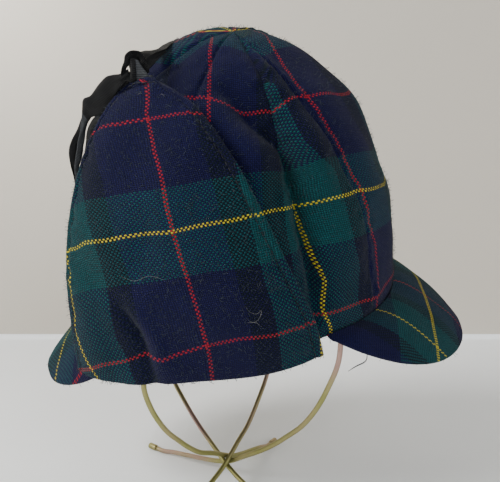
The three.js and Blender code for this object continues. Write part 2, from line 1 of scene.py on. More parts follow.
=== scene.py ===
# A deerstalker hat of woven wool tartan, resting on a plain folding wire hat stand.
# Shapes are worked out in millimetres, in the hat's own frame or the stand's, and made into
# meshes in metres in the row's frame.
import math
import bpy
import bmesh
import numpy as np
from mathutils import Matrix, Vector


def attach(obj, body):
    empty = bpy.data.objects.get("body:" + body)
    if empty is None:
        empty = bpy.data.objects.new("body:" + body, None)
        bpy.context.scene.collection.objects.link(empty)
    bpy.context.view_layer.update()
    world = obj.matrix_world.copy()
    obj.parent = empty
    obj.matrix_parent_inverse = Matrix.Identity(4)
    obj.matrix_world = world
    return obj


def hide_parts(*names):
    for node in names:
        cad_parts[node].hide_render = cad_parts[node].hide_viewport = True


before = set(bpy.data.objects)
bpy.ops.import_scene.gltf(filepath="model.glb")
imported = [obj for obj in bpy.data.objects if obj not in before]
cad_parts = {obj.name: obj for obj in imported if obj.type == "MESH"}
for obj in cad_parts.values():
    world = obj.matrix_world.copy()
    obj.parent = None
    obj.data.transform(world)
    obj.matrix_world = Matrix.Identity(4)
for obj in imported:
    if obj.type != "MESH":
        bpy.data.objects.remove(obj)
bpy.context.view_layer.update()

# ---- sizes, as in the part
CROWN_LENGTH, CROWN_WIDTH, CROWN_HEIGHT = 202.8, 174.4, 166.3
RIM_DROP, CROWN_CLOTH, GORE_PUFF = 16.0, 2.5, 5.0
CREASE_DEPTH, CREASE_WIDTH = 9.0, 11.0
PEAK_CLOTH, PEAK_CAMBER, PEAK_SIDE_ANGLE, PEAK_FAN = 3.2, 4.0, 16.0, 0.65
FRONT_PEAK = {"middle": 0.0, "half_angle": 58.0, "reach": 62.0, "slope": 41.0}
BACK_PEAK = {"middle": 180.0, "half_angle": 50.0, "reach": 64.5, "slope": 41.0}
FLAP_CLOTH, FLAP_STANDOFF, FLAP_TURN = 2.6, 22.0, 7.0
FLAP_DENT_DEPTH, FLAP_DENT_WIDTH = 4.0, 10.0
RIBBON_WIDTH, RIBBON_CLOTH = 9.0, 0.9
WIRE, STAND_HEIGHT = 3.4, 291.0
CROSSING_HEIGHT, CROSSING_STEP = 17.5, 4.9
CAP_RADIUS = 2.4
SEAM_GAP = 0.3
# The bearings from the front between which the crown's rim drops
RIM_BEARINGS = 50, 150
DOME_FLARE, DOME_RISE = 1.1, 0.8
POLE_FORWARD, POLE_RIGHT = 0.08, 0.16
TARTAN_REPEAT = 127.0
HALF_REPEAT = TARTAN_REPEAT / 2
# Half the width of a wire's cap across the flats of its twelve sides
CAP_FLAT = CAP_RADIUS * math.cos(math.radians(15))

# Where the hat and the stand are in the row's frame
STAND_PLACE = np.array([0.347, 13.386, 0.0])
HAT_PLACE = STAND_PLACE + np.array([5.6, -12.0, 152.845])
HAT_PITCH, HAT_ROLL = math.radians(-3), math.radians(-16)
CAMERA_PLACE = np.array([-357.19, -47.81, 230.0])
LOOK_LEVEL, LOOK_DOWN = math.radians(5.0), math.radians(7.75)


def rows_of(names, *rows):
    """A table: one dictionary a row, with the named columns."""
    return [dict(zip(names.split(), row)) for row in rows]


# Tables as in the part. Creases and dents are rows of bearing, rise and share of their depth.
GORES = rows_of(
    "seam lean sink puff",
    (-36, -27, 0.15, 0.35), (36, 27, 0.15, 0.9), (62, 4, 0.5, 0.3), (107, 0, 0.5, 0.2),
    (150, 0, 0.5, 0.8), (210, 0, 0.5, 0.2), (253, 0, 0.5, 0.3), (298, -4, 0.5, 0.9))
CROWN_CREASE = [
    (93, 0.86, 0.1), (82, 0.825, 0.5), (74.5, 0.765, 0.9), (66.5, 0.708, 1), (63.5, 0.666, 1),
    (64, 0.56, 0.9), (63, 0.41, 0.75), (61.5, 0.16, 0.5), (61, 0.04, 0.1)]
PEAK_OUTLINE = rows_of(
    "along reach", (0, 1), (0.17, 0.98), (0.34, 0.92), (0.51, 0.8), (0.68, 0.6), (0.85, 0.33), (1, 0.06))
FLAP_SECTIONS = rows_of(
    "along front frontUp rear rearUp frontOff midOff rearOff sag",
    (0, 61, -0.044, 146, -0.163, 0.1, 0, 1, -0.25),
    (0.15, 63.8, 0.105, 148, 0, 0.11, 0, 0.87, 0),
    (0.35, 70.4, 0.3, 150, 0.2, 0.12, 0.02, 0.73, 0),
    (0.55, 77.2, 0.493, 150, 0.42, 0.12, 0.1, 0.59, 0),
    (0.72, 84.5, 0.643, 150, 0.595, 0.13, 0.14, 0.46, 0),
    (0.86, 96, 0.763, 148, 0.712, 0.18, 0.18, 0.37, 0.2),
    (0.95, 108, 0.81, 145, 0.78, 0.24, 0.25, 0.32, 0.3),
    (1, 121, 0.836, 139, 0.818, 0.29, 0.3, 0.31, 0.2))
FLAP_DENT = [(124, 0.04, 1), (128, 0.12, 0.9), (134, 0.24, 0.6), (139, 0.36, 0.1)]
# The wires' shapes: places out and up, as shares of a loop's or a foot's reach and height
LOOP_PROFILE = [
    (0, 0.059), (0.16, 0.088), (0.32, 0.118), (0.45, 0.147), (0.56, 0.176), (0.67, 0.207), (0.76, 0.242),
    (0.84, 0.283), (0.91, 0.33), (0.95, 0.36), (0.975, 0.39), (0.985, 0.44), (0.965, 0.52), (0.91, 0.61),
    (0.82, 0.71), (0.69, 0.81), (0.52, 0.9), (0.3, 0.97)]
FOOT_PROFILE = [(0.13, 0.79), (0.33, 0.6), (0.55, 0.44), (0.76, 0.28), (0.9, 0.14)]
LOOPS = rows_of(
    "name bearing half_width squeeze splays foot foot_turns pass_side lift feet",
    ("inner", 56.0, 87.0, 0.0, (5.5, 5.5), 76.0, (11.0, 3.0), 1, 0.0, (1, 2)),
    ("outer", 145.0, 78.5, 8.0, (2.8, 9.5), 62.0, (-6.0, 6.0), -1, CROSSING_STEP, (3, 4)))

# The ribbon laid over the crown, in the hat's frame in metres: x, y, z and its twist in degrees
TIE_LEFT_ROUTE = [
    (-0.0365, 0.0385, 0.155, 55), (-0.03, 0.036, 0.156, 40), (-0.022, 0.034, 0.1567, 20),
    (-0.012, 0.032, 0.1586, 5), (0, 0.031, 0.1596, 0), (0.012, 0.031, 0.1584, 0),
    (0.024, 0.032, 0.1552, 0), (0.034, 0.033, 0.1525, 0), (0.042, 0.034, 0.1495, 0)]
# The other ribbons by their two edges, in the hat's frame in millimetres
STRAP = [
    (-43.5, 42.9, 144.2, -45.5, 35.1, 144.4), (-44, 42.5, 147.8, -45, 36.1, 147.4),
    (-43.6, 42.2, 151.2, -44, 38.5, 150.8), (-43, 42.1, 154.7, -43.2, 40.3, 154.1)]
STRAP_END = [
    (-45.5, 33.4, 146.3, -46, 33.6, 144.4), (-42.2, 40.2, 146.4, -42.6, 40.4, 144.2),
    (-39.4, 46.1, 144.9, -39.8, 45.6, 142.6), (-36.5, 51.6, 142.3, -37, 50.5, 139.9)]
SMALL_LOOP = [
    (-42.5, 51.2, 147.2, -41.5, 48.6, 146.4), (-43.5, 49.8, 150.7, -42.5, 47.5, 150),
    (-44, 47.7, 153.9, -43, 45.6, 151.9), (-44, 46.7, 156.8, -42, 44.2, 153.7),
    (-43.5, 44.7, 158.4, -41, 42.9, 154.8), (-43, 41.6, 158.8, -40.5, 41.9, 154.7),
    (-42.5, 38.5, 157.9, -41, 40.8, 153.9), (-42, 36.7, 155, -42, 40, 152.4),
    (-41.5, 35.9, 151.6, -42.2, 39.2, 149.4), (-42, 35.4, 147.6, -43, 38.1, 146.3)]
KNOT_MIDDLE = [
    (-42, 45.6, 154.8, -42.5, 41.4, 155.1), (-43, 45.3, 151.4, -43.6, 41.7, 151.2),
    (-43.5, 45.4, 148.4, -44, 41.9, 147.7), (-42.5, 46.4, 144.8, -43.5, 42.4, 144.1)]
KNOT_FILL = [
    (-41.5, 47.5, 156.4, -40.5, 38.1, 155.4), (-41.8, 46.5, 153.1, -41, 37.9, 152.7),
    (-42.2, 46, 150.6, -41.6, 38.2, 149.8), (-42.4, 46, 148.8, -42, 38.6, 148.3),
    (-42.6, 49.2, 147.3, -42.3, 39.2, 145.8), (-41.6, 51.1, 144.5, -42.5, 41.8, 142.9)]
KNOT_UNDER = [
    (-41, 36.5, 154.9, -43, 35.8, 148.7), (-39, 34.1, 156, -40.5, 33.4, 150.8),
    (-36, 31.4, 157.1, -37, 30.6, 153.6), (-31, 28.1, 157.8, -31.5, 27.6, 156.6)]
TIE_TAIL = [
    (-42.3, 46.7, 149.9, -43, 46, 146.4), (-41, 51.8, 147.8, -41.5, 49.1, 143.3),
    (-39, 56.1, 147.4, -40, 53.5, 139.7), (-37, 61.1, 146.4, -38, 57.7, 135.5),
    (-35.5, 65.5, 143.4, -37, 61.7, 131.2), (-34, 69.4, 139.7, -36, 65.2, 128),
    (-33, 73.2, 136.5, -34.5, 69, 125.7), (-32, 77.7, 135, -33, 72.9, 125.1),
    (-31.5, 80, 130.4, -31, 76.5, 123.8), (-31, 81.8, 124.7, -29.5, 79.5, 120.3),
    (-30.2, 84.2, 117.8, -28, 82.7, 114.9), (-29.5, 86.9, 110.8, -26.7, 85.5, 108.2),
    (-29.5, 89.6, 103.1, -26.4, 88.7, 101), (-30, 92.2, 95.4, -27, 90.9, 93.9),
    (-31.5, 92.6, 87.8, -28.7, 91.4, 86.9), (-32.5, 92.2, 83.7, -30, 91.1, 82.8)]
TIE_BOW = [
    (-36.5, 51.1, 146.5, -38, 49.5, 143.9), (-33, 59.3, 144.5, -36, 57, 139.4),
    (-30, 68, 140.4, -33, 64.7, 134.1), (-28, 75.8, 134, -31, 72.5, 127.6),
    (-27, 82.1, 125.7, -28.5, 78.7, 121.8), (-26.5, 87.7, 117.2, -26.5, 84.5, 114.7),
    (-26, 93, 110.3, -25, 89.4, 108.7), (-26, 95.8, 104.4, -24.5, 91.7, 103.2),
    (-27, 96.1, 97.3, -25, 92.5, 97.2), (-28, 95.4, 90, -26, 92.4, 89.9),
    (-29, 94.7, 82.7, -27, 91.6, 84.4), (-29.8, 92.8, 78.3, -28, 90.2, 81.5),
    (-30.5, 88.7, 78.4, -29, 88.3, 83), (-31.5, 83.7, 85.4, -29.8, 86.8, 88.8),
    (-32, 81, 95.4, -30, 85.4, 96.9), (-32.5, 78.6, 106.2, -30.3, 83.4, 106.6),
    (-33, 75, 114.4, -31, 80.6, 115.4), (-34, 70.4, 121.2, -32, 76.3, 121.7),
    (-35, 64.8, 127.2, -33, 70.7, 127.2), (-36, 58.9, 132.5, -34, 63.2, 134.1),
    (-37.5, 53.6, 137.3, -36, 56.3, 140.4), (-40, 48, 142.5, -39, 50.1, 145.1)]
# Single threads and hairs that lie on the hat, in its frame in millimetres
LOOSE_THREAD = [(-75.5, -75.8, -10.5), (-75.7, -75.5, -14.5), (-75.5, -74.2, -16.6), (-75.5, -69.6, -19.3),
                (-75.5, -65.1, -22.7)]
HAIRS = [
    [(-91, -10.2, 32.2), (-91.2, -12.5, 28.6), (-91.3, -16.1, 27.3), (-91.2, -18.8, 29.8), (-91.6, -17, 24.4),
     (-91.2, -13, 22.2), (-91, -10.2, 24.9)],
    [(-91, -10.4, 21.9), (-91.6, -15.4, 22.1), (-91.2, -17.8, 19.4)],
    [(-78, 59.1, 46), (-80.6, 50.3, 43.7), (-82.4, 40.9, 47.3), (-84.6, 32.1, 45.6)],
    [(-48.9, 41.9, 137), (-49.1, 40.7, 138), (-49.8, 39.1, 138)],
    [(-55.8, 28.5, 137), (-56.2, 27, 137.8), (-57.1, 25.5, 136.5)],
    [(-42.8, 60.6, 129.3), (-41.6, 58.7, 132.2), (-41.8, 56.1, 134.4), (-41.9, 54.6, 135.6)]]


# ---- shapes in millimetres
def smoothstep(x, low, high):
    share = np.clip((np.asarray(x, float) - low) / (high - low), 0, 1)
    return share * share * (3 - 2 * share)


def read_table(table, place, column, at):
    """One column of a table, read smoothly at a place between its rows."""
    at = np.asarray(at, float)
    xs = np.array([row[place] for row in table], float)
    ys = np.array([row[column] for row in table], float)
    k = np.clip(np.searchsorted(xs, at) - 1, 0, len(xs) - 2)
    first, last = np.maximum(k - 1, 0), np.minimum(k + 2, len(xs) - 1)
    span = xs[k + 1] - xs[k]
    s = np.clip((at - xs[k]) / span, 0, 1)
    start = (ys[k + 1] - ys[first]) / (xs[k + 1] - xs[first])
    end = (ys[last] - ys[k]) / (xs[last] - xs[k])
    s2, s3 = s * s, s * s * s
    return ((2 * s3 - 3 * s2 + 1) * ys[k] + (s3 - 2 * s2 + s) * span * start
            + (3 * s2 - 2 * s3) * ys[k + 1] + (s3 - s2) * span * end)


def from_front(bearing):
    """How far round from the front a bearing is, on either side."""
    return np.abs(np.mod(np.asarray(bearing, float) + 180, 360) - 180)


def rim_height(bearing):
    return -RIM_DROP * smoothstep(from_front(bearing), *RIM_BEARINGS)


def dome_reach(rise):
    return np.cos(np.arcsin(np.clip(rise, 0, 1) ** (1 / DOME_RISE))) ** DOME_FLARE


def dome_rise(reach):
    return np.sin(np.arccos(np.minimum(reach, 1) ** (1 / DOME_FLARE))) ** DOME_RISE


def dome_point(bearing, rise):
    reach, low, turn = dome_reach(rise), rim_height(bearing), np.radians(bearing)
    return np.stack([
        -np.sin(turn) * reach * CROWN_WIDTH / 2,
        -np.cos(turn) * reach * CROWN_LENGTH / 2,
        low + rise * (CROWN_HEIGHT - low)], -1)


def dome_at_height(bearing, height):
    low = rim_height(bearing)
    return dome_point(bearing, (height - low) / (CROWN_HEIGHT - low))


def along_list(rows, at):
    """A value read straight between the rows of a list of places and values."""
    return np.interp(at, [row[0] for row in rows], [row[1] for row in rows])


def unit(vectors):
    return vectors / np.maximum(np.linalg.norm(vectors, axis=-1, keepdims=True), 1e-9)


def dome_normal(bearing, height):
    turn = dome_at_height(bearing + 0.5, height) - dome_at_height(bearing - 0.5, height)
    top = np.minimum(height + 0.5, CROWN_HEIGHT - 0.2)
    climb = dome_at_height(bearing, top) - dome_at_height(bearing, top - 1)
    return unit(np.cross(climb, turn))


def fold_depth(points, line, width):
    """How deep a fold cuts in: each row of the line is a place and a depth."""
    deepest = np.zeros(points.shape[:-1])
    for a, b in zip(line[:-1], line[1:]):
        along = b[:-1] - a[:-1]
        share = np.clip((points - a[:-1]) @ along / (along @ along), 0, 1)
        away = np.linalg.norm(points - (a[:-1] + share[..., None] * along), axis=-1) / width
        here = (a[-1] + (b[-1] - a[-1]) * share) * np.exp(-away * away)
        deepest = np.where(np.abs(here) > np.abs(deepest), here, deepest)
    return deepest


def fold_line(rows, scale):
    """A line for fold_depth, from bearings and rises on the dome and shares of a depth."""
    return [np.append(dome_point(float(b), float(r)), scale * d) for b, r, d in rows]


def grid_normals(grid, ring):
    """Directions square to a grid of points, whose rows may be rings."""
    along = np.roll(grid, -1, 1) - np.roll(grid, 1, 1) if ring else np.gradient(grid, axis=1)
    return unit(np.cross(np.gradient(grid, axis=0), along))


NOISE_WAVES, NOISE_SPREAD = 14, 3.7


def smooth_noise(points, size, seed):
    """Soft lumps of about that size in millimetres, from sums of fixed waves."""
    random = np.random.RandomState(seed)
    total = np.zeros(points.shape[:-1])
    for _ in range(NOISE_WAVES):
        wave = random.normal(size=3)
        wave *= 2 * math.pi / (size * random.uniform(0.8, 1.8)) / np.linalg.norm(wave)
        total += np.sin(points @ wave + random.uniform(0, 2 * math.pi))
    return total / NOISE_SPREAD


def edge_steps(length, step):
    """Shares from 0 to 1 of a length, with fine steps at both edges."""
    fine = np.array([0, 0.25, 0.6, 1.1, 1.8, 2.8, 4.2])
    count = max(int((length - 2 * fine[-1]) / step), 2)
    middle = np.linspace(fine[-1], length - fine[-1], count + 1)[1:-1]
    return np.concatenate([fine, middle, length - fine[::-1]]) / length


def arcs(grid, axis):
    """Arc length from the first row or column of a grid."""
    step = np.linalg.norm(np.diff(grid, axis=axis), axis=-1)
    pad = [(0, 0), (0, 0)]
    pad[axis] = (1, 0)
    return np.pad(np.cumsum(step, axis=axis), pad)


HAT_TURN = (np.array([[1, 0, 0], [0, math.cos(HAT_PITCH), -math.sin(HAT_PITCH)],
                      [0, math.sin(HAT_PITCH), math.cos(HAT_PITCH)]])
            @ np.array([[math.cos(HAT_ROLL), 0, math.sin(HAT_ROLL)], [0, 1, 0],
                        [-math.sin(HAT_ROLL), 0, math.cos(HAT_ROLL)]]))


def from_hat(points):
    """Hat frame in millimetres to the row's frame in metres."""
    return (np.asarray(points, float) @ HAT_TURN.T + HAT_PLACE) / 1000


# ---- meshes
def place_object(name, data):
    thing = bpy.data.objects.new(name, data)
    bpy.context.scene.collection.objects.link(thing)
    return thing


def finish_piece(piece, slot, *nodes):
    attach(piece, "root")
    if nodes:
        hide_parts(*nodes)
    return piece


def make_piece(name, points, faces, materials, uvs=None, material_of=None, smooth=True):
    """An object whose place is in its mesh. uvs hold one pair for each face corner."""
    mesh = bpy.data.meshes.new(name)
    mesh.from_pydata(np.asarray(points, float).tolist(), [], [list(map(int, face)) for face in faces])
    for material in materials:
        mesh.materials.append(material)
    if uvs is not None:
        mesh.uv_layers.new(name="cloth").data.foreach_set("uv", np.asarray(uvs, np.float32).ravel())
    if smooth:
        mesh.polygons.foreach_set("use_smooth", np.ones(len(mesh.polygons), bool))
    if material_of is not None:
        mesh.polygons.foreach_set("material_index", np.asarray(material_of, np.int32))
    mesh.update()
    return place_object(name, mesh)


def signed_volume(points, faces):
    a, b, c, d = (points[faces[:, i]] for i in range(4))
    return (np.einsum("ij,ij->i", a, np.cross(b, c)) + np.einsum("ij,ij->i", a, np.cross(c, d))).sum()


def quads(rows, wide, columns):
    """Faces of a grid of points that is so many faces wide. Also each corner's row, its face's
    column and its side of that face. Rows as wide as their points are rings."""
    j, i = np.meshgrid(np.arange(rows - 1), np.arange(wide), indexing="ij")
    row, column, side = np.broadcast_arrays(
        j.reshape(-1, 1) + np.array([0, 0, 1, 1]), i.reshape(-1, 1), np.array([0, 1, 1, 0]))
    return row * columns + (column + side) % columns, (row, column, side)


def cloth_piece(name, skins, corners, inside):
    """Cloth between two grids of points, closed by a narrow wall along its edges. corners hold
    the cloth's place at each row, at both sides of each column of faces."""
    rows, columns = skins[0].shape[:2]
    size, wide = rows * columns, corners.shape[1]
    points = np.concatenate([skin.reshape(-1, 3) for skin in skins])
    outer, places = quads(rows, wide, columns)
    faces, uvs = [outer, outer[:, ::-1] + size], [corners[places], corners[places][:, ::-1]]
    # The walls run round the edges, from a first to a second row, column and side.
    k, up = np.arange(wide), np.arange(rows - 1)
    walls = [((0, k, 0), (0, k, 1))]
    if wide < columns:
        walls += [((up, wide - 1, 1), (up + 1, wide - 1, 1)),
                  ((rows - 1, k[::-1], 1), (rows - 1, k[::-1], 0)), ((up[::-1] + 1, 0, 0), (up[::-1], 0, 0))]
    for first, second in walls:
        a, b = (np.broadcast_arrays(*end) for end in (first, second))
        at_a, at_b = (row * columns + (column + side) % columns for row, column, side in (a, b))
        faces.append(np.stack([at_b, at_a, at_a + size, at_b + size], 1))
        uvs.append(np.stack([corners[tuple(end)] for end in (b, a, a, b)], 1))
    skin = np.concatenate([np.full(len(part), n == 1) for n, part in enumerate(faces)])
    faces, uvs = np.concatenate(faces), np.concatenate(uvs)
    if signed_volume(points, faces) < 0:
        faces, uvs = faces[:, ::-1], uvs[:, ::-1]
    piece = make_piece(name, from_hat(points), faces, (TARTAN, inside), uvs.reshape(-1, 2), skin)
    if wide == columns:
        close_top(piece)
    return finish_piece(piece, "tartan_wool", name.replace("_cloth", ""))


def panel(name, middle, thickness, uv):
    """A flat piece of cloth round a middle grid."""
    half = (thickness / 2)[..., None] * grid_normals(middle, False)
    return cloth_piece(name, [middle + half, middle - half], np.stack([uv[:, :-1], uv[:, 1:]], 2), TARTAN)


def bar_piece(name, rings, placing, materials, ring_uv=None, material_of=None):
    """A closed bar through rings of points. ring_uv gives a corner's place from its row and point,
    and material_of a face's material from its row."""
    rows, count = rings.shape[:2]
    flat = rings.reshape(-1, 3)
    faces, (row, column, side) = quads(rows, count, count)
    caps = [list(range(count))[::-1], list(range((rows - 1) * count, rows * count))]
    uvs = None if ring_uv is None else ring_uv(row, (column + side) % count)
    if signed_volume(flat - flat.mean(0), faces) < 0:
        faces, caps = faces[:, ::-1], [cap[::-1] for cap in caps]
        uvs = None if uvs is None else uvs[:, ::-1]
    if uvs is not None:
        uvs = np.concatenate([uvs.reshape(-1, 2), np.zeros((2 * count, 2))])
    picked = None if material_of is None else material_of(np.append(row[:, 0], [0, rows - 1]))
    return make_piece(name, placing(flat), [*faces, *caps], materials, uvs, picked)


def close_top(piece):
    """Merges the tight rings at the top of each skin into one point."""
    work = bmesh.new()
    work.from_mesh(piece.data)
    bmesh.ops.remove_doubles(work, verts=work.verts, dist=2e-5)
    work.to_mesh(piece.data)
    work.free()


def edge_distance(grid, ring):
    """Distance in millimetres of each point of a grid from its nearest edge. Of a ring only the
    first row is an edge."""
    up, along = arcs(grid, 0), arcs(grid, 1)
    both = np.minimum(up, up[-1] - up), np.minimum(along, along[:, -1:] - along)
    return up if ring else np.minimum(*both)


# How far in a cloth's edge is rounded and how thin it gets, as shares of its thickness
ROUNDED_IN, THINNEST = 0.6, 0.12


def rounded(distance, thickness):
    """A cloth's thickness near its rounded edge."""
    share = np.clip(distance / (thickness * ROUNDED_IN), 0, 1)
    return thickness * np.maximum(np.sqrt(1 - (1 - share) ** 2), THINNEST)


# ---- colours and materials
def srgb(code):
    """A hex colour as linear RGBA."""
    values = [int(code[k:k + 2], 16) / 255 for k in (1, 3, 5)]
    return tuple(v / 12.92 if v <= 0.04045 else ((v + 0.055) / 1.055) ** 2.4 for v in values) + (1.0,)


def feed(node, inputs):
    """Sets a node's inputs to values, or links them to the sockets that feed them."""
    for socket, value in inputs.items():
        if isinstance(value, bpy.types.NodeSocket):
            node.id_data.links.new(value, node.inputs[socket])
        else:
            node.inputs[socket].default_value = value
    return node


def add_node(tree, kind, inputs={}, **settings):
    """Adds a node with its settings and what feeds it."""
    node = tree.nodes.new(kind)
    for name, value in settings.items():
        setattr(node, name, value)
    return feed(node, inputs)


def result(tree, kind, inputs={}, output=0, **settings):
    """What a new node gives."""
    return add_node(tree, kind, inputs, **settings).outputs[output]


def calc(tree, operation, *values):
    return result(tree, "ShaderNodeMath", dict(enumerate(values)), operation=operation)


def vector(tree, operation, *values):
    return result(tree, "ShaderNodeVectorMath", dict(enumerate(values)), operation=operation)


def noise(tree, place, scale, detail, output=0):
    return result(tree, "ShaderNodeTexNoise", {"Vector": place, "Scale": scale, "Detail": detail}, output)


def ramp(tree, factor, stops, interpolation="LINEAR"):
    """Colours along a factor: stops are its values and their hex colours."""
    node = add_node(tree, "ShaderNodeValToRGB", {0: factor})
    colors = node.color_ramp
    colors.interpolation = interpolation
    while len(colors.elements) > 1:
        colors.elements.remove(colors.elements[-1])
    colors.elements[0].position, colors.elements[0].color = stops[0][0], srgb(stops[0][1])
    for position, color in stops[1:]:
        colors.elements.new(position).color = srgb(color)
    return node.outputs[0]


def mix(tree, kind, factor, a, b):
    """A mix of two colours (RGBA) or two values (FLOAT)."""
    first, output = (6, 2) if kind == "RGBA" else (2, 0)
    return result(tree, "ShaderNodeMix", {0: factor, first: a, first + 1: b}, output, data_type=kind)


def bump(tree, height, strength, distance):
    return result(tree, "ShaderNodeBump", {"Strength": strength, "Distance": distance, "Height": height})


def new_material(name):
    """A material with its tree, its shader and the place of each point on the object."""
    material = bpy.data.materials.new(name)
    material.use_nodes = True
    tree = material.node_tree
    return material, tree, tree.nodes["Principled BSDF"], result(tree, "ShaderNodeTexCoord", output="Object")


def on_cloth(tree, offset=(0.0, 0.0, 0.0)):
    """The place of each point on its cloth, across and along, moved by an offset."""
    place = vector(tree, "ADD", result(tree, "ShaderNodeUVMap", uv_map="cloth"), offset)
    return add_node(tree, "ShaderNodeSeparateXYZ", {0: place}).outputs


# The yarns are 1.13 mm apart, 112 to a repeat, so single yarns show as fine dots.
YARNS = 112
NAVY, BLACK, GREEN = "#0e0f33", "#061019", "#083a3c"
WEFT_GREEN, WEFT_NAVY = "#0a363c", "#0d0e2e"
RED, YELLOW = "#801727", "#a3962a"
# Half the width of a red or a yellow line, in repeats
LINE = 1.02 / YARNS
WARP_STOPS = [
    (0.0, RED), (LINE, NAVY), (0.209, BLACK), (0.311, GREEN), (0.5 - LINE, YELLOW),
    (0.5 + LINE, GREEN), (0.689, BLACK), (0.791, NAVY), (1 - LINE, RED)]
WEFT_STOPS = [
    (0.0, RED), (LINE, WEFT_NAVY), (0.311, WEFT_GREEN), (0.5 - LINE, YELLOW),
    (0.5 + LINE, WEFT_GREEN), (0.689, WEFT_NAVY), (1 - LINE, RED)]


def tartan_wool(name):
    """Woven wool tartan: a plain weave of two-ply yarn, brushed so that it is soft and matt."""
    material, tree, shader, place = new_material(name)
    # The yarns wander by up to three quarters of a millimetre.
    drift = vector(tree, "SUBTRACT", noise(tree, place, 60.0, 1.0, "Color"), (0.5, 0.5, 0.5))
    drift = vector(tree, "MULTIPLY", drift, (0.012, 0.012, 0.0))
    axes = on_cloth(tree, drift)
    numbers, colors, bulges = [], [], []
    for axis, stops in ((0, WARP_STOPS), (1, WEFT_STOPS)):
        yarns = calc(tree, "MULTIPLY", axes[axis], YARNS)
        number = calc(tree, "FLOOR", yarns)
        in_sett = calc(tree, "FRACT", calc(tree, "DIVIDE", calc(tree, "ADD", number, 0.5), YARNS))
        across = calc(tree, "SUBTRACT", yarns, number)
        numbers.append(number)
        colors.append(ramp(tree, in_sett, stops, "CONSTANT"))
        bulges.append(calc(tree, "SINE", calc(tree, "MULTIPLY", across, math.pi)))
    over = calc(tree, "FLOORED_MODULO", calc(tree, "ADD", *numbers), 2.0)
    yarn_color = mix(tree, "RGBA", over, *colors)
    # Each yarn is round across, and dips where it goes under the next one.
    crowns = [calc(tree, "MULTIPLY", bulge, calc(tree, "MULTIPLY_ADD", other, 0.55, 0.45))
              for bulge, other in (bulges, bulges[::-1])]
    height = mix(tree, "FLOAT", over, *crowns)
    # Painted shade in the gaps between the yarns, heathered fibres, then the slow fading of a worn cloth.
    fibres = noise(tree, place, 1100.0, 3.0)
    # The colour is darkened where the yarns dip: painted shade between the yarns.
    painted_gap_shade = calc(tree, "MULTIPLY_ADD", height, 1.15, 0.22)
    flecks = calc(tree, "MULTIPLY_ADD", fibres, 1.5, 0.3)
    worn = calc(tree, "MULTIPLY_ADD", noise(tree, place, 28.0, 4.0), 0.5, 0.78)
    light = calc(tree, "MULTIPLY", calc(tree, "MULTIPLY", painted_gap_shade, flecks), worn)
    color = result(tree, "ShaderNodeVectorMath", {0: yarn_color, 3: light}, operation="SCALE")
    relief = calc(tree, "MULTIPLY_ADD", fibres, 0.7, height)
    feed(shader, {"Base Color": color, "Normal": bump(tree, relief, 0.7, 0.0004), "Roughness": 0.95,
                  "Specular IOR Level": 0.06, "Sheen Weight": 0.05, "Sheen Roughness": 0.55})
    return material


def lining_taffeta():
    """Black woven taffeta lining: fine even threads with a soft sheen."""
    material, tree, shader, place = new_material("black_taffeta_lining")
    weave = result(tree, "ShaderNodeTexWave", {"Vector": place, "Scale": 900.0, "Distortion": 1.0}, 1,
                   wave_type="BANDS", bands_direction="Z")
    feed(shader, {"Base Color": ramp(tree, weave, [(0.0, "#0d0e12"), (1.0, "#23252d")]),
                  "Normal": bump(tree, weave, 0.25, 0.0002), "Roughness": 0.5})
    return material


RIB_STEP = 0.9


def grosgrain_ribbon(name, low, high, rough):
    """Black grosgrain: ribs across the ribbon with a dull shine. They are 0.9 mm apart, a little
    coarser than real ones, which would be too fine for the picture."""
    material, tree, shader, place = new_material(name)
    ribs = calc(tree, "SINE", calc(tree, "MULTIPLY", on_cloth(tree)["Y"], 2 * math.pi / RIB_STEP))
    ribs = calc(tree, "MULTIPLY_ADD", ribs, 0.5, 0.5)
    tone = calc(tree, "MULTIPLY", ribs, noise(tree, place, 700.0, 3.0))
    feed(shader, {"Base Color": ramp(tree, tone, [(0.0, low), (0.7, high)]),
                  "Normal": bump(tree, ribs, 0.8, 0.00025), "Roughness": rough, "Specular IOR Level": 0.2})
    return material


def passivated_steel():
    """Steel wire, zinc plated and yellow passivated: a thin golden film with pink and green
    patches, its shine broken by fine handling marks."""
    material, tree, shader, place = new_material("yellow_passivated_steel")
    film = ramp(tree, noise(tree, place, 16.0, 1.0), [
        (0.3, "#a0956a"), (0.44, "#929058"), (0.53, "#a3986e"), (0.64, "#ad8f84")])
    grime = noise(tree, place, 240.0, 2.0)
    rough = result(tree, "ShaderNodeMapRange", {0: grime, 3: 0.38, 4: 0.5})
    feed(shader, {"Base Color": film, "Normal": bump(tree, grime, 0.04, 0.00005), "Roughness": rough,
                  "Metallic": 1.0})
    return material


def blended(name, low, high, scale, detail, rough):
    """A plain material between two tones, in soft patches of one scale."""
    material, tree, shader, place = new_material(name)
    patches = noise(tree, place, scale, detail)
    feed(shader, {"Base Color": mix(tree, "RGBA", patches, srgb(low), srgb(high)), "Roughness": rough})
    return material


def sewing_thread(name, color):
    """Spun polyester sewing thread, two plies twisted together."""
    return blended(name, "#05060a", color, 1500.0, 2.0, 0.7)


def matt_paint(name, low, high, scale):
    """Pale matt painted board with a faint unevenness."""
    return blended(name, low, high, scale, 3.0, 0.8)


TARTAN = tartan_wool("brushed_woven_wool_tartan")
LINING = lining_taffeta()
GROSGRAIN = grosgrain_ribbon("black_grosgrain_ribbon", "#010102", "#0b0c0f", 0.6)
# A pale grey copy of the black grosgrain: a painted reflection of the ribbon's shine, not its own colour.
PAINTED_REFLECTION_GROSGRAIN = grosgrain_ribbon("grosgrain_ribbon_faded_grey", "#1b1d20", "#43464a", 0.65)
STEEL = passivated_steel()
THREAD = sewing_thread("dark_sewing_thread", "#141622")
LINT = sewing_thread("pale_lint", "#8f8f88")
WOOL_HAIR = sewing_thread("wool_hair", "#2c3a46")


# ---- camera and ribbons
LENS = 37.8


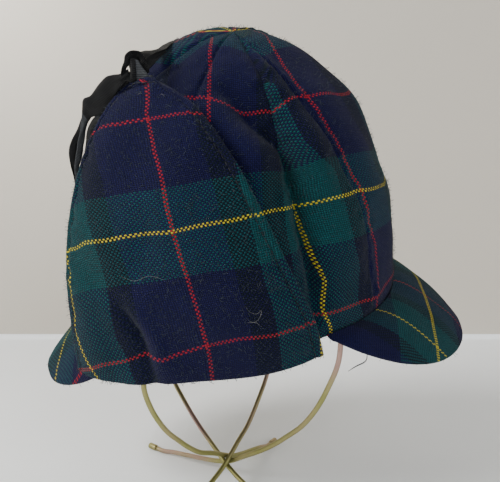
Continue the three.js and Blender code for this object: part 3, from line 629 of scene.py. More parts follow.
def set_camera():
    data = bpy.data.cameras.new("camera")
    data.sensor_width, data.lens, data.clip_start = 36.0, LENS, 0.01
    camera = place_object("camera", data)
    camera.location = (STAND_PLACE + CAMERA_PLACE) / 1000
    flat = math.cos(LOOK_DOWN)
    look = Vector((math.cos(LOOK_LEVEL) * flat, math.sin(LOOK_LEVEL) * flat, -math.sin(LOOK_DOWN)))
    camera.rotation_euler = look.to_track_quat("-Z", "Y").to_euler()
    bpy.context.scene.camera = camera


set_camera()


def catmull(points, steps):
    """A smooth line of points through given ones, as the part's solids follow."""
    points = np.asarray(points, float)
    count = len(points) - 1
    before = np.concatenate([[2 * points[0] - points[1]], points, [2 * points[-1] - points[-2]]])
    at = np.linspace(0, count, steps + 1)
    k = np.minimum(at.astype(int), count - 1)
    s = (at - k)[:, None]
    a, b, c, d = (before[k + n] for n in range(4))
    return 0.5 * (2 * b + (c - a) * s + (2 * a - 5 * b + 4 * c - d) * s ** 2
                  + (3 * b - a - 3 * c + d) * s ** 3)


RIBBON_ACROSS = np.array([-1, -0.97, -0.75, -0.45, -0.15, 0.15, 0.45, 0.75, 0.97, 1])
RIBBON_EDGE = np.array([0.25, 0.8, 1, 1, 1, 1, 1, 1, 0.8, 0.25])


def ribbon_body(name, centre, wide, width, cup, crumple, seed, pale_from=1.0):
    """A flat ribbon along its centre line: wide is its direction across and width its half
    width, at each place. cup bows it across and crumple dents it softly. From the share
    pale_from of its length on it has the pale grey material, whose paleness is a painted reflection."""
    steps = len(centre) - 1
    thick = unit(np.cross(unit(np.gradient(centre, axis=0)), wide))[:, None]
    along = arcs(centre[None], 1)[0]
    centre, wide, across = centre[:, None], wide[:, None], RIBBON_ACROSS[None, :, None]
    ripple = crumple * smooth_noise(centre + 9 * across * wide, 11, seed)[..., None]
    middle = centre + across * width[:, None, None] * wide + (cup * (1 - across ** 2) + ripple) * thick
    half = (RIBBON_EDGE * RIBBON_CLOTH / 2)[None, :, None] * thick
    rings = np.concatenate([middle + half, (middle - half)[:, ::-1]], axis=1)
    ring_u = np.concatenate([RIBBON_ACROSS, RIBBON_ACROSS[::-1]]) * RIBBON_WIDTH / 2
    piece = bar_piece(name, rings, from_hat, (GROSGRAIN, PAINTED_REFLECTION_GROSGRAIN),
                      lambda row, point: np.stack([ring_u[point], along[row]], -1),
                      lambda row: (row >= pale_from * steps) & (pale_from < 1))
    return piece, from_hat(middle.mean(axis=1))


def ribbon(name, route, steps, widths, cup=0.3, seed=3):
    """A ribbon along a route of places and twists. widths are shares of its full width."""
    points = catmull([row[:3] for row in route], steps) * 1000
    twist = np.interp(np.linspace(0, 1, steps + 1), np.linspace(0, 1, len(route)), [row[3] for row in route])
    tangent = unit(np.gradient(points, axis=0))
    wide = unit(np.cross(points - np.array([0, 0, CROWN_HEIGHT / 2]), tangent))
    turn = np.radians(twist)[:, None]
    wide = wide * np.cos(turn) + np.cross(tangent, wide) * np.sin(turn)
    width = RIBBON_WIDTH / 2 * along_list(widths, np.linspace(0, 1, steps + 1))
    return ribbon_body(name, points, wide, width, cup, 0.35, seed)


def edged_ribbon(name, edges, steps, cup=0.3, crumple=0.35, seed=3, pale_from=1.0):
    """A ribbon between two edges, folded and drawn together as they are."""
    edges = np.array(edges)
    a, b = catmull(edges[:, :3], steps), catmull(edges[:, 3:], steps)
    half = np.linalg.norm(b - a, axis=1) / 2
    return ribbon_body(name, (a + b) / 2, unit(b - a), half, cup, crumple, seed, pale_from)


def as_cord(piece, centre, far_end, lay, node):
    finish_piece(piece, "ribbon", node)


def join_pieces(name, pieces):
    """Several meshes as one, all in the row's frame already."""
    work = bmesh.new()
    for piece in pieces:
        work.from_mesh(piece.data)
    mesh = pieces[0].data.copy()
    work.to_mesh(mesh)
    work.free()
    joined = place_object(name, mesh)
    mesh.name = name
    for piece in pieces:
        bpy.data.objects.remove(piece)
    return joined


def folded_ribbons(name, node, ribbons):
    """Short lengths of ribbon as one piece."""
    made = [edged_ribbon(f"{name}_{k}", *ribbon)[0] for k, ribbon in enumerate(ribbons)]
    return finish_piece(join_pieces(name, made), "ribbon", node)


as_cord(*ribbon("tie_left_ribbon", TIE_LEFT_ROUTE, 90, ((0, 0.8), (0.12, 0.95), (0.9, 1), (1, 1))),
        "object", "loose", "tie_left")
# From 0.56 of its length on, the tail has the pale grey grosgrain, a painted reflection.
as_cord(*edged_ribbon("tie_tail_ribbon", TIE_TAIL, 120, 0.7, 0.6, 4, 0.56), "bare", "hanging", "tie_tail")
as_cord(*edged_ribbon("tie_bow_ribbon", TIE_BOW, 200, 0.4, 0.3, 6), "object", "hanging", "tie_bow")
# The strap and its end are all in the pale grey grosgrain, a painted reflection.
folded_ribbons("tie_right_strap", "tie_right", [(STRAP, 24, 0.2, 0.1, 1, 0), (STRAP_END, 30, 0.1, 0.1, 2, 0)])
# The knot: the small loop that stands up, the band down its middle, and the folds beside and behind it
folded_ribbons("tie_knot_folds", "tie_knot", [
    (SMALL_LOOP, 72, 0.5, 0.25, 8), (KNOT_MIDDLE, 24, 0.8, 0.2, 9), (KNOT_FILL, 30, 0.6, 0.4, 11),
    (KNOT_UNDER, 24, 0.8, 0.5, 10)])


# ---- the cloth pieces
def metric(values):
    """Lengths in millimetres as tartan repeats."""
    return np.asarray(values, float) / TARTAN_REPEAT


def rise_from_elevation(elevation):
    return math.sin(math.radians(elevation)) ** DOME_RISE


# Where one line of the cloth runs down each gore: places as bearing and elevation, and the
# line's own place in the tartan (0 red, 0.5 yellow). Gores with none have it down their middle.
GORE_LINES = {
    0: (0.0, [(22.5, 73.5), (35.3, 68.8), (41.5, 63.6), (45, 58), (45.8, 53.4), (45, 49.4), (43.5, 47),
              (41.5, 40.8), (40, 35.2), (38, 29.2), (35.5, 22.5), (34.5, 15.8), (31, 10), (30.5, 5.2),
              (33, 2.2)]),
    1: (0.5, [(150, 72), (112, 62), (96, 57), (84, 52), (79, 46), (74, 36), (70, 32), (63.5, 28.5),
              (63, 23.5), (61.5, 19.2), (60, 13.2), (57, 8), (58, 5.5), (59, 3.5), (56.5, 0.8)]),
    2: (1.0, [(101.6, 78.5), (97.9, 73.7), (96.9, 68.9), (96.1, 64.2), (95.2, 60.2), (94.7, 56.2),
              (94.1, 51.6), (93, 45.8), (92, 20), (90, 0)]),
}
GORE_LINES[3] = GORE_LINES[2]
GORE_MIDDLES = {4: 0.0, 5: 0.5, 6: 0.0, 7: 0.25}
# The lines round the crown: bearing and rise of the upper red one, the yellow and the low red
# one, and of the green band's edge above them, which is this share of a repeat from the red.
GREEN_BAND = 0.311
TOP_RED = [
    (8.7, 0.745), (27.3, 0.771), (48.5, 0.787), (62.3, 0.768), (76.7, 0.784), (94, 0.82), (106, 0.828),
    (180, 0.8)]
ROUND_YELLOW = [(15, 0.435), (36.7, 0.469), (51.9, 0.479), (63.7, 0.472), (73.9, 0.479), (180, 0.45)]
TOP_GREEN = [
    (16.7, 0.912), (28.7, 0.917), (37.8, 0.92), (58.8, 0.904), (65.4, 0.922), (78.1, 0.944),
    (101.9, 0.96), (109, 0.952), (117.2, 0.933), (123.3, 0.914), (180, 0.91)]
TOP_YELLOW_RISE = 0.987
LOW_RED = [(15.3, 0.069), (32.5, 0.064), (43.5, 0.087), (61.5, 0.092), (100, 0.08), (180, 0.0)]


def down_the_dome(rise):
    """Distance down the dome's side from its top, near enough for any bearing."""
    rises = np.linspace(1, 0, 400)
    down = arcs(dome_point(np.full(400, 60.0), rises)[None], 1)[0]
    return np.interp(-np.asarray(rise), -rises, down)


def crown_rows(bearing, rise):
    """The tartan's place up the crown, in repeats."""
    round_ = from_front(bearing)
    down = down_the_dome(rise)
    edge, top, middle, low = (down_the_dome(along_list(line, round_))
                              for line in (TOP_GREEN, TOP_RED, ROUND_YELLOW, LOW_RED))
    above = GREEN_BAND * (down - top) / (top - edge)
    ring = down_the_dome(TOP_YELLOW_RISE)
    above = np.where(down > edge, above, -GREEN_BAND - (0.5 - GREEN_BAND) * (edge - down) / (edge - ring))
    between = 0.5 * (down - top) / (middle - top)
    below = 0.5 + 0.5 * (down - middle) / (low - middle)
    return np.where(down < top, above, np.where(down < middle, between, below))


# Folds pressed into the crown: depth, width, and places as bearing and rise with a share of the depth.
FOLDS = [
    (4.6, 3.6, [
        (90.9, 0.85, 0.2), (82.3, 0.815, 0.7), (77.5, 0.771, 1), (72.3, 0.725, 1), (67.1, 0.695, 1),
        (63.7, 0.667, 1), (62.9, 0.641, 1), (62.9, 0.604, 0.8), (63.7, 0.548, 0.5)]),
    (6.0, 4.0, [
        (63.7, 0.548, 0.3), (62.9, 0.461, 0.8), (62.5, 0.371, 1), (61.5, 0.28, 1), (60.7, 0.202, 0.8),
        (60.7, 0.139, 0.4)]),
    (4.0, 5.5, [
        (70.7, 0.565, 0.4), (71.1, 0.508, 1), (68.9, 0.419, 1), (66.1, 0.358, 0.5)]),
    (-3.4, 9.0, [
        (86.9, 0.765, 0.4), (80.7, 0.707, 1), (76.3, 0.639, 1), (72.9, 0.604, 0.4)]),
    (-3.0, 8.0, [(59.1, 0.74, 0.4), (57, 0.68, 1), (55, 0.62, 1), (55.1, 0.52, 0.5)]),
    (1.4, 3.0, [(123, 0.927, 0.5), (123, 0.908, 1), (128, 0.89, 0.5)]),
]


# The crown's mesh: columns to a degree, how far they crowd to the seams, and its rows
COLUMNS_PER_DEGREE, LEAST_COLUMNS, CROWDING = 0.86, 24, 0.72
CROWN_ROWS = np.concatenate([edge_steps(260, 2.4)[:-7], [0.987, 0.993, 0.99995]])
# The sunken seams in millimetres: their least depth, what a gore's sink adds to it, their width at
# the top and what is added to it below, how far their pucker reaches, and the smooth edge at the rim
SEAM_DEPTH, SEAM_SINK, SEAM_NARROW, SEAM_WIDER, PUCKER_REACH, RIM_SMOOTH = 0.4, 1.6, 0.45, 1.05, 7, 12
# Where the puffs, the seams' width and depth, their pucker and the crumple become full, on the way
# out from the top
PUFF_FULL, SEAM_FULL, DEPTH_FULL, PUCKER_FULL, CRUMPLE_FULL = 0.6, 0.3, 0.2, 0.6, 0.3
# Soft unevenness in millimetres: its height, the size of its lumps and the seed of its waves
SEAM_PUCKER, CROWN_CRUMPLE = (0.9, 9, 11), (1.1, 34, 12)


def gore_columns():
    """For each column of the crown: its gore, and its bearing, lean, sink and puff."""
    columns = []
    for index, gore in enumerate(GORES):
        following = dict(GORES[(index + 1) % len(GORES)])
        following["seam"] += 0 if index + 1 < len(GORES) else 360
        count = max(round((following["seam"] - gore["seam"]) * COLUMNS_PER_DEGREE), LEAST_COLUMNS)
        even = np.arange(count) / count
        across = even - CROWDING * np.sin(2 * math.pi * even) / (2 * math.pi)
        between = [gore[name] + (following[name] - gore[name]) * across for name in ("seam", "lean", "sink")]
        columns.append(np.stack([np.full(count, index), *between, gore["puff"] * 4 * across * (1 - across)]))
    return np.concatenate(columns, axis=1)


def line_crossing(past, span):
    """Where along a row its distance past a line is nought, carried on straight beyond the row."""
    slope = lambda k: (span[k + 1] - span[k]) / max(past[k + 1] - past[k], 1e-6)
    return np.interp(0, past, span, left=span[0] - past[0] * slope(0), right=span[-1] - past[-1] * slope(-2))


def crown():
    gore_of, bearings, leans, sinks, puffs = gore_columns()
    columns = len(bearings)
    outs = np.cos(np.radians(90 * CROWN_ROWS)) ** DOME_FLARE
    out = outs[:, None]
    turn = np.radians(bearings[None] + leans[None] * (1 - out))
    forward = out * np.cos(turn) + (1 - out) * POLE_FORWARD
    right = out * np.sin(turn) + (1 - out) * POLE_RIGHT
    bearing = np.degrees(np.arctan2(right, forward))
    plain = dome_point(bearing, dome_rise(np.hypot(forward, right)))
    along = arcs(np.concatenate([plain, plain[:, :1]], 1), 1)
    seam_columns = [int(np.flatnonzero(gore_of == g)[0]) for g in range(len(GORES))] + [columns]
    # Tartan across each gore: measured along the row from its own line.
    climb = (plain[..., 2] - rim_height(bearing)) / (CROWN_HEIGHT - rim_height(bearing))
    corner_u = np.zeros((len(outs), columns, 2))
    seam_away = np.zeros(plain.shape[:2])
    for g, (first, last) in enumerate(zip(seam_columns[:-1], seam_columns[1:])):
        span = along[:, first:last + 1]
        seam_away[:, first:last] = np.minimum(span - span[:, :1], span[:, -1:] - span)[:, :-1]
        if g in GORE_LINES:
            base, line = GORE_LINES[g]
            line = sorted((rise_from_elevation(elevation), place) for place, elevation in line)
            picked = np.arange(first, last + 1) % columns
            here = np.degrees(np.unwrap(np.radians(bearing[:, picked]), axis=1))
            past = here - along_list(line, climb[:, picked])
            past -= 360 * np.round(past.mean(1, keepdims=True) / 360)
            start = np.array([line_crossing(*rows) for rows in zip(past, span)])
        else:
            base, start = GORE_MIDDLES[g], span.mean(1)
        u = base + metric(span - start[:, None])
        corner_u[:, first:last] = np.stack([u[:, :-1], u[:, 1:]], -1)
    v = crown_rows(bearing, climb)
    # Relief: puffed gores, sunken seams, the long crease, the folds and a little crumple. All but the
    # crease and the folds fade out at the rim and towards the top.
    fading = lambda full_at: np.minimum(1, out / full_at)
    relief = GORE_PUFF * (puffs - sinks)[None] * ((1 - out ** 8) * fading(PUFF_FULL))
    relief -= fold_depth(plain, fold_line(CROWN_CREASE, CREASE_DEPTH), CREASE_WIDTH)
    for depth, width, line in FOLDS:
        relief -= fold_depth(plain, fold_line(line, depth), width)
    from_rim = edge_distance(plain, True)
    groove = np.exp(-(seam_away / (SEAM_NARROW + SEAM_WIDER * fading(SEAM_FULL))) ** 2)
    inside = np.clip(from_rim / RIM_SMOOTH, 0, 1) * fading(DEPTH_FULL)
    relief -= (SEAM_DEPTH + SEAM_SINK * sinks)[None] * groove * inside
    pucker = np.exp(-(seam_away / PUCKER_REACH) ** 2) * (1 - groove)
    high, *lumps = SEAM_PUCKER
    relief += high * pucker * smooth_noise(plain * [1, 1, 1.6], *lumps) * inside * fading(PUCKER_FULL)
    high, *lumps = CROWN_CRUMPLE
    relief += high * smooth_noise(plain, *lumps) * inside * fading(CRUMPLE_FULL)
    # Both skins are measured from the plain dome, so that they stay apart in the folds.
    thickness = rounded(from_rim, CROWN_CLOTH)
    normals = steady_normals(plain)
    skins = [plain + (relief + (side * thickness - CROWN_CLOTH) / 2)[..., None] * normals for side in (1, -1)]
    corners = np.stack([corner_u, np.stack([v, np.roll(v, -1, 1)], -1)], -1)
    return cloth_piece("crown_cloth", skins, corners, LINING)


def steady_normals(grid):
    """Normals of a dome whose top row is almost one point."""
    normals = grid_normals(grid, True)
    normals[-2:] = unit(normals[-3].mean(0))
    return normals


# Where the tartan's lines cross a flap, in millimetres: in from its front edge for each height, and up
# from its hem for each share of its width.
FLAP_RED_FROM_FRONT = [
    (0, 64.9), (1.3, 64.7), (25.4, 61.1), (91.4, 47.7), (105.9, 43.8), (116.3, 41.2), (132.6, 37.3),
    (153.8, 29), (172.7, 10)]
FLAP_YELLOW_FROM_FRONT = [
    (0.9, 138.5), (11.1, 143.9), (30.2, 149.8), (46.7, 142.9), (62.3, 137.3), (79.5, 135)]
FLAP_LOW_RED = [
    (0, 24.7), (0.155, 24.1), (0.28, 26.4), (0.4, 24.1), (0.58, 17), (0.67, 18.5), (0.83, 11.9), (1, 0)]
FLAP_MID_YELLOW = [(0, 92.7), (0.2, 92.8), (0.37, 91.4), (0.65, 89.9), (0.84, 87.1), (0.98, 79)]
FLAP_TOP_RED = [
    (0, 150), (0.083, 151.5), (0.198, 151.3), (0.303, 150.3), (0.424, 149.9), (0.569, 150.5), (0.752, 152),
    (0.892, 152.2), (0.947, 150.5), (1, 147)]
# Folds in the flap, with their places in millimetres from its front edge and up from its hem.
FLAP_FOLDS = [
    (3.8, 5.0, [
        (103.4, 54, 0.2), (103, 44, 0.8), (101.5, 34, 1), (101, 24, 0.9), (100.5, 13, 0.8), (100, 0, 0.5)]),
    (-1.3, 5.0, [(93, 52, 0.2), (92.5, 40, 1), (91, 28, 1), (90, 12, 0.3)]),
    (-1.8, 8.0, [(115, 54, 0.4), (114, 38, 1), (114, 16, 1), (113, 0, 0.6)]),
    (1.5, 8.0, [(55, 107, 0.2), (66, 89, 1), (82, 70, 1), (97, 56, 0.6)]),
    (1.1, 5.0, [(30, 60, 0.2), (20, 52, 1), (9, 47, 0.8)]),
    (1.0, 5.0, [(28, 96, 0.2), (18, 92, 1), (8, 88, 0.8)]),
]
# Where across a flap its standoff changes from front to middle and from middle to rear
FRONT_CHANGE, REAR_CHANGE = (0, 0.4), (0.45, 1.05)
# The flap's mesh, as shares of its height and width
FLAP_ROWS, FLAP_COLUMNS = edge_steps(176, 1.25), edge_steps(120, 1.05)
# Its stitches and its rolled edge, and where its pucker is, all in millimetres
STITCH_IN, STITCH_DIP, STITCH_WIDTH = 5.0, 1.3, 0.8
ROLL_HIGH, ROLL_WIDTH, FLAP_PLUMP = 0.9, 1.7, 0.4
PUCKER_IN, PUCKER_WIDTH, SIDE_SMOOTH = 7, 4, 8
# Soft unevenness in millimetres: its height and the size of its lumps
FLAP_WAVE, FLAP_PUCKER, PEAK_WAVE = (0.7, 30), (0.45, 8), (0.35, 26)


def flap_grid(along, across):
    column = lambda name: read_table(FLAP_SECTIONS, "along", name, along)
    bearing = column("front") * (1 - across) + column("rear") * across
    sag = FLAP_TURN * column("sag") * 4 * across * (1 - across)
    height = CROWN_HEIGHT * (column("frontUp") * (1 - across) + column("rearUp") * across) + sag
    front = column("frontOff") + (column("midOff") - column("frontOff")) * smoothstep(across, *FRONT_CHANGE)
    standoff = FLAP_STANDOFF * (front + (column("rearOff") - front) * smoothstep(across, *REAR_CHANGE))
    surface = dome_at_height(bearing, height)
    pressed = fold_depth(surface, fold_line(FLAP_DENT, FLAP_DENT_DEPTH), FLAP_DENT_WIDTH)
    gap = SEAM_GAP + np.maximum(standoff - pressed, 0) + FLAP_CLOTH / 2
    return surface + gap[..., None] * dome_normal(bearing, height)


def ear_flap(name, side, seed, shift):
    along, across = np.meshgrid(FLAP_ROWS, FLAP_COLUMNS, indexing="ij")
    middle = flap_grid(along, across)
    up, aside = arcs(middle, 0), arcs(middle, 1)
    side_away = np.minimum(aside, aside[:, -1:] - aside)
    seam_away = np.minimum(side_away, up[-1:] - up)
    # The seam's turned edge makes a soft roll, held down by a line of stitches a little way in.
    stitch = np.exp(-((seam_away - STITCH_IN) / STITCH_WIDTH) ** 2)
    roll = np.exp(-((seam_away - STITCH_IN / 2) / ROLL_WIDTH) ** 2)
    normals = grid_normals(middle, False)
    wave = FLAP_WAVE[0] * smooth_noise(middle, FLAP_WAVE[1], seed) * np.clip(side_away / SIDE_SMOOTH, 0, 1)
    by_seam = np.exp(-((seam_away - PUCKER_IN) / PUCKER_WIDTH) ** 2)
    pucker = FLAP_PUCKER[0] * smooth_noise(middle, FLAP_PUCKER[1], seed + 1) * by_seam
    places = np.stack([aside, up], -1)
    for depth, width, line in FLAP_FOLDS:
        wave = wave - depth * fold_depth(places, np.array(line, float), width)
    middle = middle + (FLAP_PLUMP + wave + pucker - STITCH_DIP / 2 * stitch)[..., None] * normals
    thickness = rounded(edge_distance(middle, False), FLAP_CLOTH) + ROLL_HIGH * roll - STITCH_DIP * stitch
    red, yellow = along_list(FLAP_RED_FROM_FRONT, up), along_list(FLAP_YELLOW_FROM_FRONT, up)
    u = np.where(aside < red, aside - red, (aside - red) / (yellow - red) * HALF_REPEAT)
    low, mid, top = (along_list(rows, across) for rows in (FLAP_LOW_RED, FLAP_MID_YELLOW, FLAP_TOP_RED))
    v = np.where(up < mid, (up - low) / (mid - low), 1 + (up - mid) / (top - mid)) * HALF_REPEAT
    uv = np.stack([metric(u) + shift, metric(v) + shift / 2], -1)
    middle = middle * [side, 1, 1]
    piece = panel(name, middle, thickness, uv)
    out = side * grid_normals(middle, False)
    skin = middle + (thickness / 2)[..., None] * out
    stitches = sew(name.replace("_cloth", "_stitches"), skin, out, aside, up)
    width, length = aside[:, -1].max() / 1000, up[-1].max() / 1000
    return piece


# The peaks' mesh, from side to side and out from the crown
PEAK_ACROSS, PEAK_OUT = 2 * edge_steps(230, 1.5) - 1, edge_steps(66, 1.5)
# Where the tartan's lines cross the front peak: places to its side, each with a place in the cloth.
FRONT_PEAK_LINES = [(-95, 170), (-77, 127), (-50, 63.5), (-14, 0), (30, -63.5), (74, -127), (118, -190)]
# How far from the hat's middle the yellow line across each peak is, and how many millimetres of
# tartan go to one of the peak's: on the front one behind that line and in front of it, on the back
# one across and along
FRONT_YELLOW, FRONT_SHARE = 121, (0.93, 1.3)
BACK_YELLOW, BACK_SHARE = 130, (1.1, 1.3)
PEAK_STITCH_IN, PEAK_STITCH_DIP, PEAK_TUCK = 6.0, 0.22, 1.6


def peak(name, shape, seed):
    across, out = np.meshgrid(PEAK_ACROSS, PEAK_OUT, indexing="xy")
    bearing = shape["middle"] + across * shape["half_angle"]
    height = rim_height(bearing) + PEAK_CLOTH
    slope = np.radians(shape["slope"] + PEAK_SIDE_ANGLE * across ** 2)
    length = shape["reach"] * read_table(PEAK_OUTLINE, "along", "reach", np.abs(across))
    clear = SEAM_GAP + PEAK_CLOTH * np.sin(slope)
    top = dome_at_height(bearing, height) + clear[..., None] * dome_normal(bearing, height)
    heading = np.radians(shape["middle"] + across * shape["half_angle"] * PEAK_FAN)
    camber = PEAK_CAMBER * 4 * out * (1 - out) * length / shape["reach"]
    level = out * length * np.cos(slope) + camber * np.sin(slope)
    ahead = -np.stack([np.sin(heading), np.cos(heading)], -1)
    top[..., :2] += ahead * level[..., None]
    top[..., 2] += camber * np.cos(slope) - out * length * np.sin(slope)
    # The root is taken into the crown's seam.
    tuck = PEAK_TUCK * (1 - smoothstep(out * length, 0, 5))
    top[..., :2] -= ahead * tuck[..., None]
    normals = grid_normals(top, False)
    middle = top + PEAK_CLOTH / 2 * normals
    # A row of stitches runs round the peak, parallel to its edge.
    out_arc, side_arc = arcs(middle, 0), arcs(middle, 1)
    edge_in = out_arc[-1:] - out_arc
    away = np.minimum(edge_in, np.minimum(side_arc, side_arc[:, -1:] - side_arc))
    stitched = np.exp(-((edge_in - PEAK_STITCH_IN) / STITCH_WIDTH) ** 2)
    middle = middle + (PEAK_WAVE[0] * smooth_noise(middle, PEAK_WAVE[1], seed))[..., None] * normals
    thickness = rounded(away, PEAK_CLOTH) * (1 - PEAK_STITCH_DIP * stitched)
    if shape["middle"] == 0:
        u = along_list(FRONT_PEAK_LINES, middle[..., 0])
        back = middle[..., 1] + FRONT_YELLOW
        v = HALF_REPEAT + np.where(back > 0, *FRONT_SHARE) * back
    else:
        u = HALF_REPEAT - BACK_SHARE[0] * middle[..., 0]
        v = HALF_REPEAT + BACK_SHARE[1] * (BACK_YELLOW - middle[..., 1])
    return panel(name, middle, thickness, np.stack([metric(u), metric(v)], -1))


def geometry_tree(name, inputs):
    """A geometry tree with a mesh and named inputs: each a kind of socket and its value."""
    tree = bpy.data.node_groups.new(name, "GeometryNodeTree")
    tree.interface.new_socket("Geometry", in_out="INPUT", socket_type="NodeSocketGeometry")
    for title, (kind, value) in inputs.items():
        socket = tree.interface.new_socket(title, in_out="INPUT", socket_type="NodeSocket" + kind)
        if value is not None:
            socket.default_value = value
    tree.interface.new_socket("Geometry", in_out="OUTPUT", socket_type="NodeSocketGeometry")
    return tree, tree.nodes.new("NodeGroupInput").outputs


def end_tree(tree, instances, material):
    real = result(tree, "GeometryNodeRealizeInstances", {"Geometry": instances})
    done = result(tree, "GeometryNodeSetMaterial", {"Geometry": real, "Material": material})
    add_node(tree, "NodeGroupOutput", {"Geometry": done})
    return tree


def bent_bar(tree, start, middle, end, resolution, sides, radius):
    """A thin bent bar of about unit length, as a mesh with closed ends."""
    bend = {"Resolution": resolution, "Start": start, "Middle": middle, "End": end}
    line = result(tree, "GeometryNodeCurveQuadraticBezier", bend)
    ring = result(tree, "GeometryNodeCurvePrimitiveCircle", {"Resolution": sides, "Radius": radius})
    return result(tree, "GeometryNodeCurveToMesh", {"Curve": line, "Profile Curve": ring, "Fill Caps": True})


def fibre_tree():
    """Short bent hairs that stand on the outer faces of a mesh, which have its first material."""
    tree, given = geometry_tree("wool_fibres", {
        "Density": ("Float", 50000.0), "Length": ("Float", 0.0019), "Seed": ("Int", 1),
        "Wool": ("Material", None)})
    seed = {"Seed": given["Seed"]}
    index = result(tree, "GeometryNodeInputMaterialIndex")
    outside = result(tree, "FunctionNodeCompare", {2: index, 3: 0}, data_type="INT", operation="EQUAL")
    points = add_node(tree, "GeometryNodeDistributePointsOnFaces", {
        "Mesh": given["Geometry"], "Selection": outside, "Density": given["Density"], **seed}).outputs
    hair = bent_bar(tree, (0, 0, -0.05), (0, 0, 0.6), (0.45, 0, 0.8), 2, 3, 0.04)
    leans = {0: (-1.2, -1.2, 0.0), 1: (1.2, 1.2, 6.28), **seed}
    lean = result(tree, "FunctionNodeRandomValue", leans, data_type="FLOAT_VECTOR")
    lean = result(tree, "FunctionNodeEulerToRotation", {0: lean})
    turn = result(tree, "FunctionNodeRotateRotation", {0: points["Rotation"], 1: lean},
                  rotation_space="LOCAL")
    size = result(tree, "FunctionNodeRandomValue", {2: 0.5, 3: 1.5, **seed}, 1, data_type="FLOAT")
    hairs = result(tree, "GeometryNodeInstanceOnPoints", {
        "Points": points["Points"], "Instance": hair, "Rotation": turn,
        "Scale": calc(tree, "MULTIPLY", size, given["Length"])})
    return end_tree(tree, hairs, given["Wool"])


def stitch_tree():
    """Stitches laid end to end along a line of points, whose attribute out points off the cloth."""
    tree, given = geometry_tree("stitches", {
        "Step": ("Float", 0.0036), "Length": ("Float", 0.0027), "Thread": ("Material", None)})
    line = result(tree, "GeometryNodeMeshToCurve", {"Mesh": given["Geometry"]})
    line = result(tree, "GeometryNodeResampleCurve", {"Curve": line, "Length": given["Step"]}, mode="LENGTH")
    out = result(tree, "GeometryNodeInputNamedAttribute", {"Name": "out"}, data_type="FLOAT_VECTOR")
    tangent = result(tree, "GeometryNodeInputTangent")
    stand = result(tree, "FunctionNodeAlignRotationToVector", {"Vector": out}, axis="Z")
    turn = result(tree, "FunctionNodeAlignRotationToVector", {"Rotation": stand, "Vector": tangent},
                  axis="X", pivot_axis="Z")
    stitch = bent_bar(tree, (-0.5, 0, -0.12), (0, 0, 0.3), (0.5, 0, -0.12), 4, 5, 0.1)
    laid = result(tree, "GeometryNodeInstanceOnPoints", {
        "Points": line, "Instance": stitch, "Rotation": turn, "Scale": given["Length"]})
    return end_tree(tree, laid, given["Thread"])


def grown(name, mesh, tree, values):
    """What a geometry tree makes on a mesh, as a plain piece."""
    holder = place_object(name + "_host", mesh)
    modifier = holder.modifiers.new("grow", "NODES")
    modifier.node_group = tree
    for item in tree.interface.items_tree:
        if item.item_type == "SOCKET" and item.in_out == "INPUT" and item.name in values:
            modifier[item.identifier] = values[item.name]
    graph = bpy.context.evaluated_depsgraph_get()
    made = bpy.data.meshes.new_from_object(holder.evaluated_get(graph), depsgraph=graph)
    bpy.data.objects.remove(holder)
    return finish_piece(place_object(name, made), "tartan_wool")


def edge_line(grid, aside, up, inset):
    """Places at a distance in from a flap's two sides and its top."""
    top = int(np.searchsorted(up.mean(1), up[-1].mean() - inset))
    pick = lambda row, at: [np.interp(at, aside[row], grid[row, :, k]) for k in range(3)]
    front = [pick(row, inset) for row in range(top)]
    rear = [pick(row, aside[row, -1] - inset) for row in range(top)]
    inside = (aside[top] > inset) & (aside[top] < aside[top, -1] - inset)
    return np.concatenate([front, grid[top, inside], rear[::-1]])


def sew(name, skin, normals, aside, up):
    line, out = (edge_line(values, aside, up, STITCH_IN) for values in (skin, normals))
    mesh = bpy.data.meshes.new(name + "_line")
    mesh.from_pydata(from_hat(line + 0.1 * out).tolist(), [(k, k + 1) for k in range(len(line) - 1)], [])
    layer = mesh.attributes.new("out", "FLOAT_VECTOR", "POINT")
    layer.data.foreach_set("vector", (unit(out) @ HAT_TURN.T).astype(np.float32).ravel())
    return grown(name, mesh, STITCHES, {"Thread": THREAD})


FIBRES, STITCHES = fibre_tree(), stitch_tree()
# Each piece of cloth with its hairs per square metre: more on the side that is brushed up most
CLOTH = [(crown(), 95000.0), (ear_flap("ear_flap_right_cloth", 1, 21, 0.0), 200000.0),
         (ear_flap("ear_flap_left_cloth", -1, 31, 0.17), 90000.0),
         (peak("front_peak_cloth", FRONT_PEAK, 41), 120000.0),
         (peak("back_peak_cloth", BACK_PEAK, 51), 90000.0)]
for piece, density in CLOTH:
    grown(piece.name.replace("_cloth", "_hairs"), piece.data, FIBRES, {"Density": density, "Wool": WOOL_HAIR})


# ---- the stand
def centripetal(points, count):
    """Evenly spaced points on the centripetal curve through a route."""
    points = np.asarray(points, float)
    ends = np.concatenate([[2 * points[0] - points[1]], points, [2 * points[-1] - points[-2]]])
    dense = []
    s = np.linspace(0, 1, 24, endpoint=False)[:, None]
    for k in range(len(points) - 1):
        p0, p1, p2, p3 = ends[k:k + 4]
        d0, d1, d2 = (max(np.linalg.norm(b - a) ** 0.5, 1e-4) for a, b in ((p0, p1), (p1, p2), (p2, p3)))
        t1 = ((p1 - p0) / d0 - (p2 - p0) / (d0 + d1) + (p2 - p1) / d1) * d1
        t2 = ((p2 - p1) / d1 - (p3 - p1) / (d1 + d2) + (p3 - p2) / d2) * d1
        dense.append(p1 + t1 * s + (3 * (p2 - p1) - 2 * t1 - t2) * s ** 2
                     + (2 * (p1 - p2) + t1 + t2) * s ** 3)
    dense = np.concatenate(dense + [points[-1:]])
    along = arcs(dense[None], 1)[0]
    at = np.linspace(0, along[-1], count + 1)
    return np.stack([np.interp(at, along, dense[:, k]) for k in range(3)], -1)


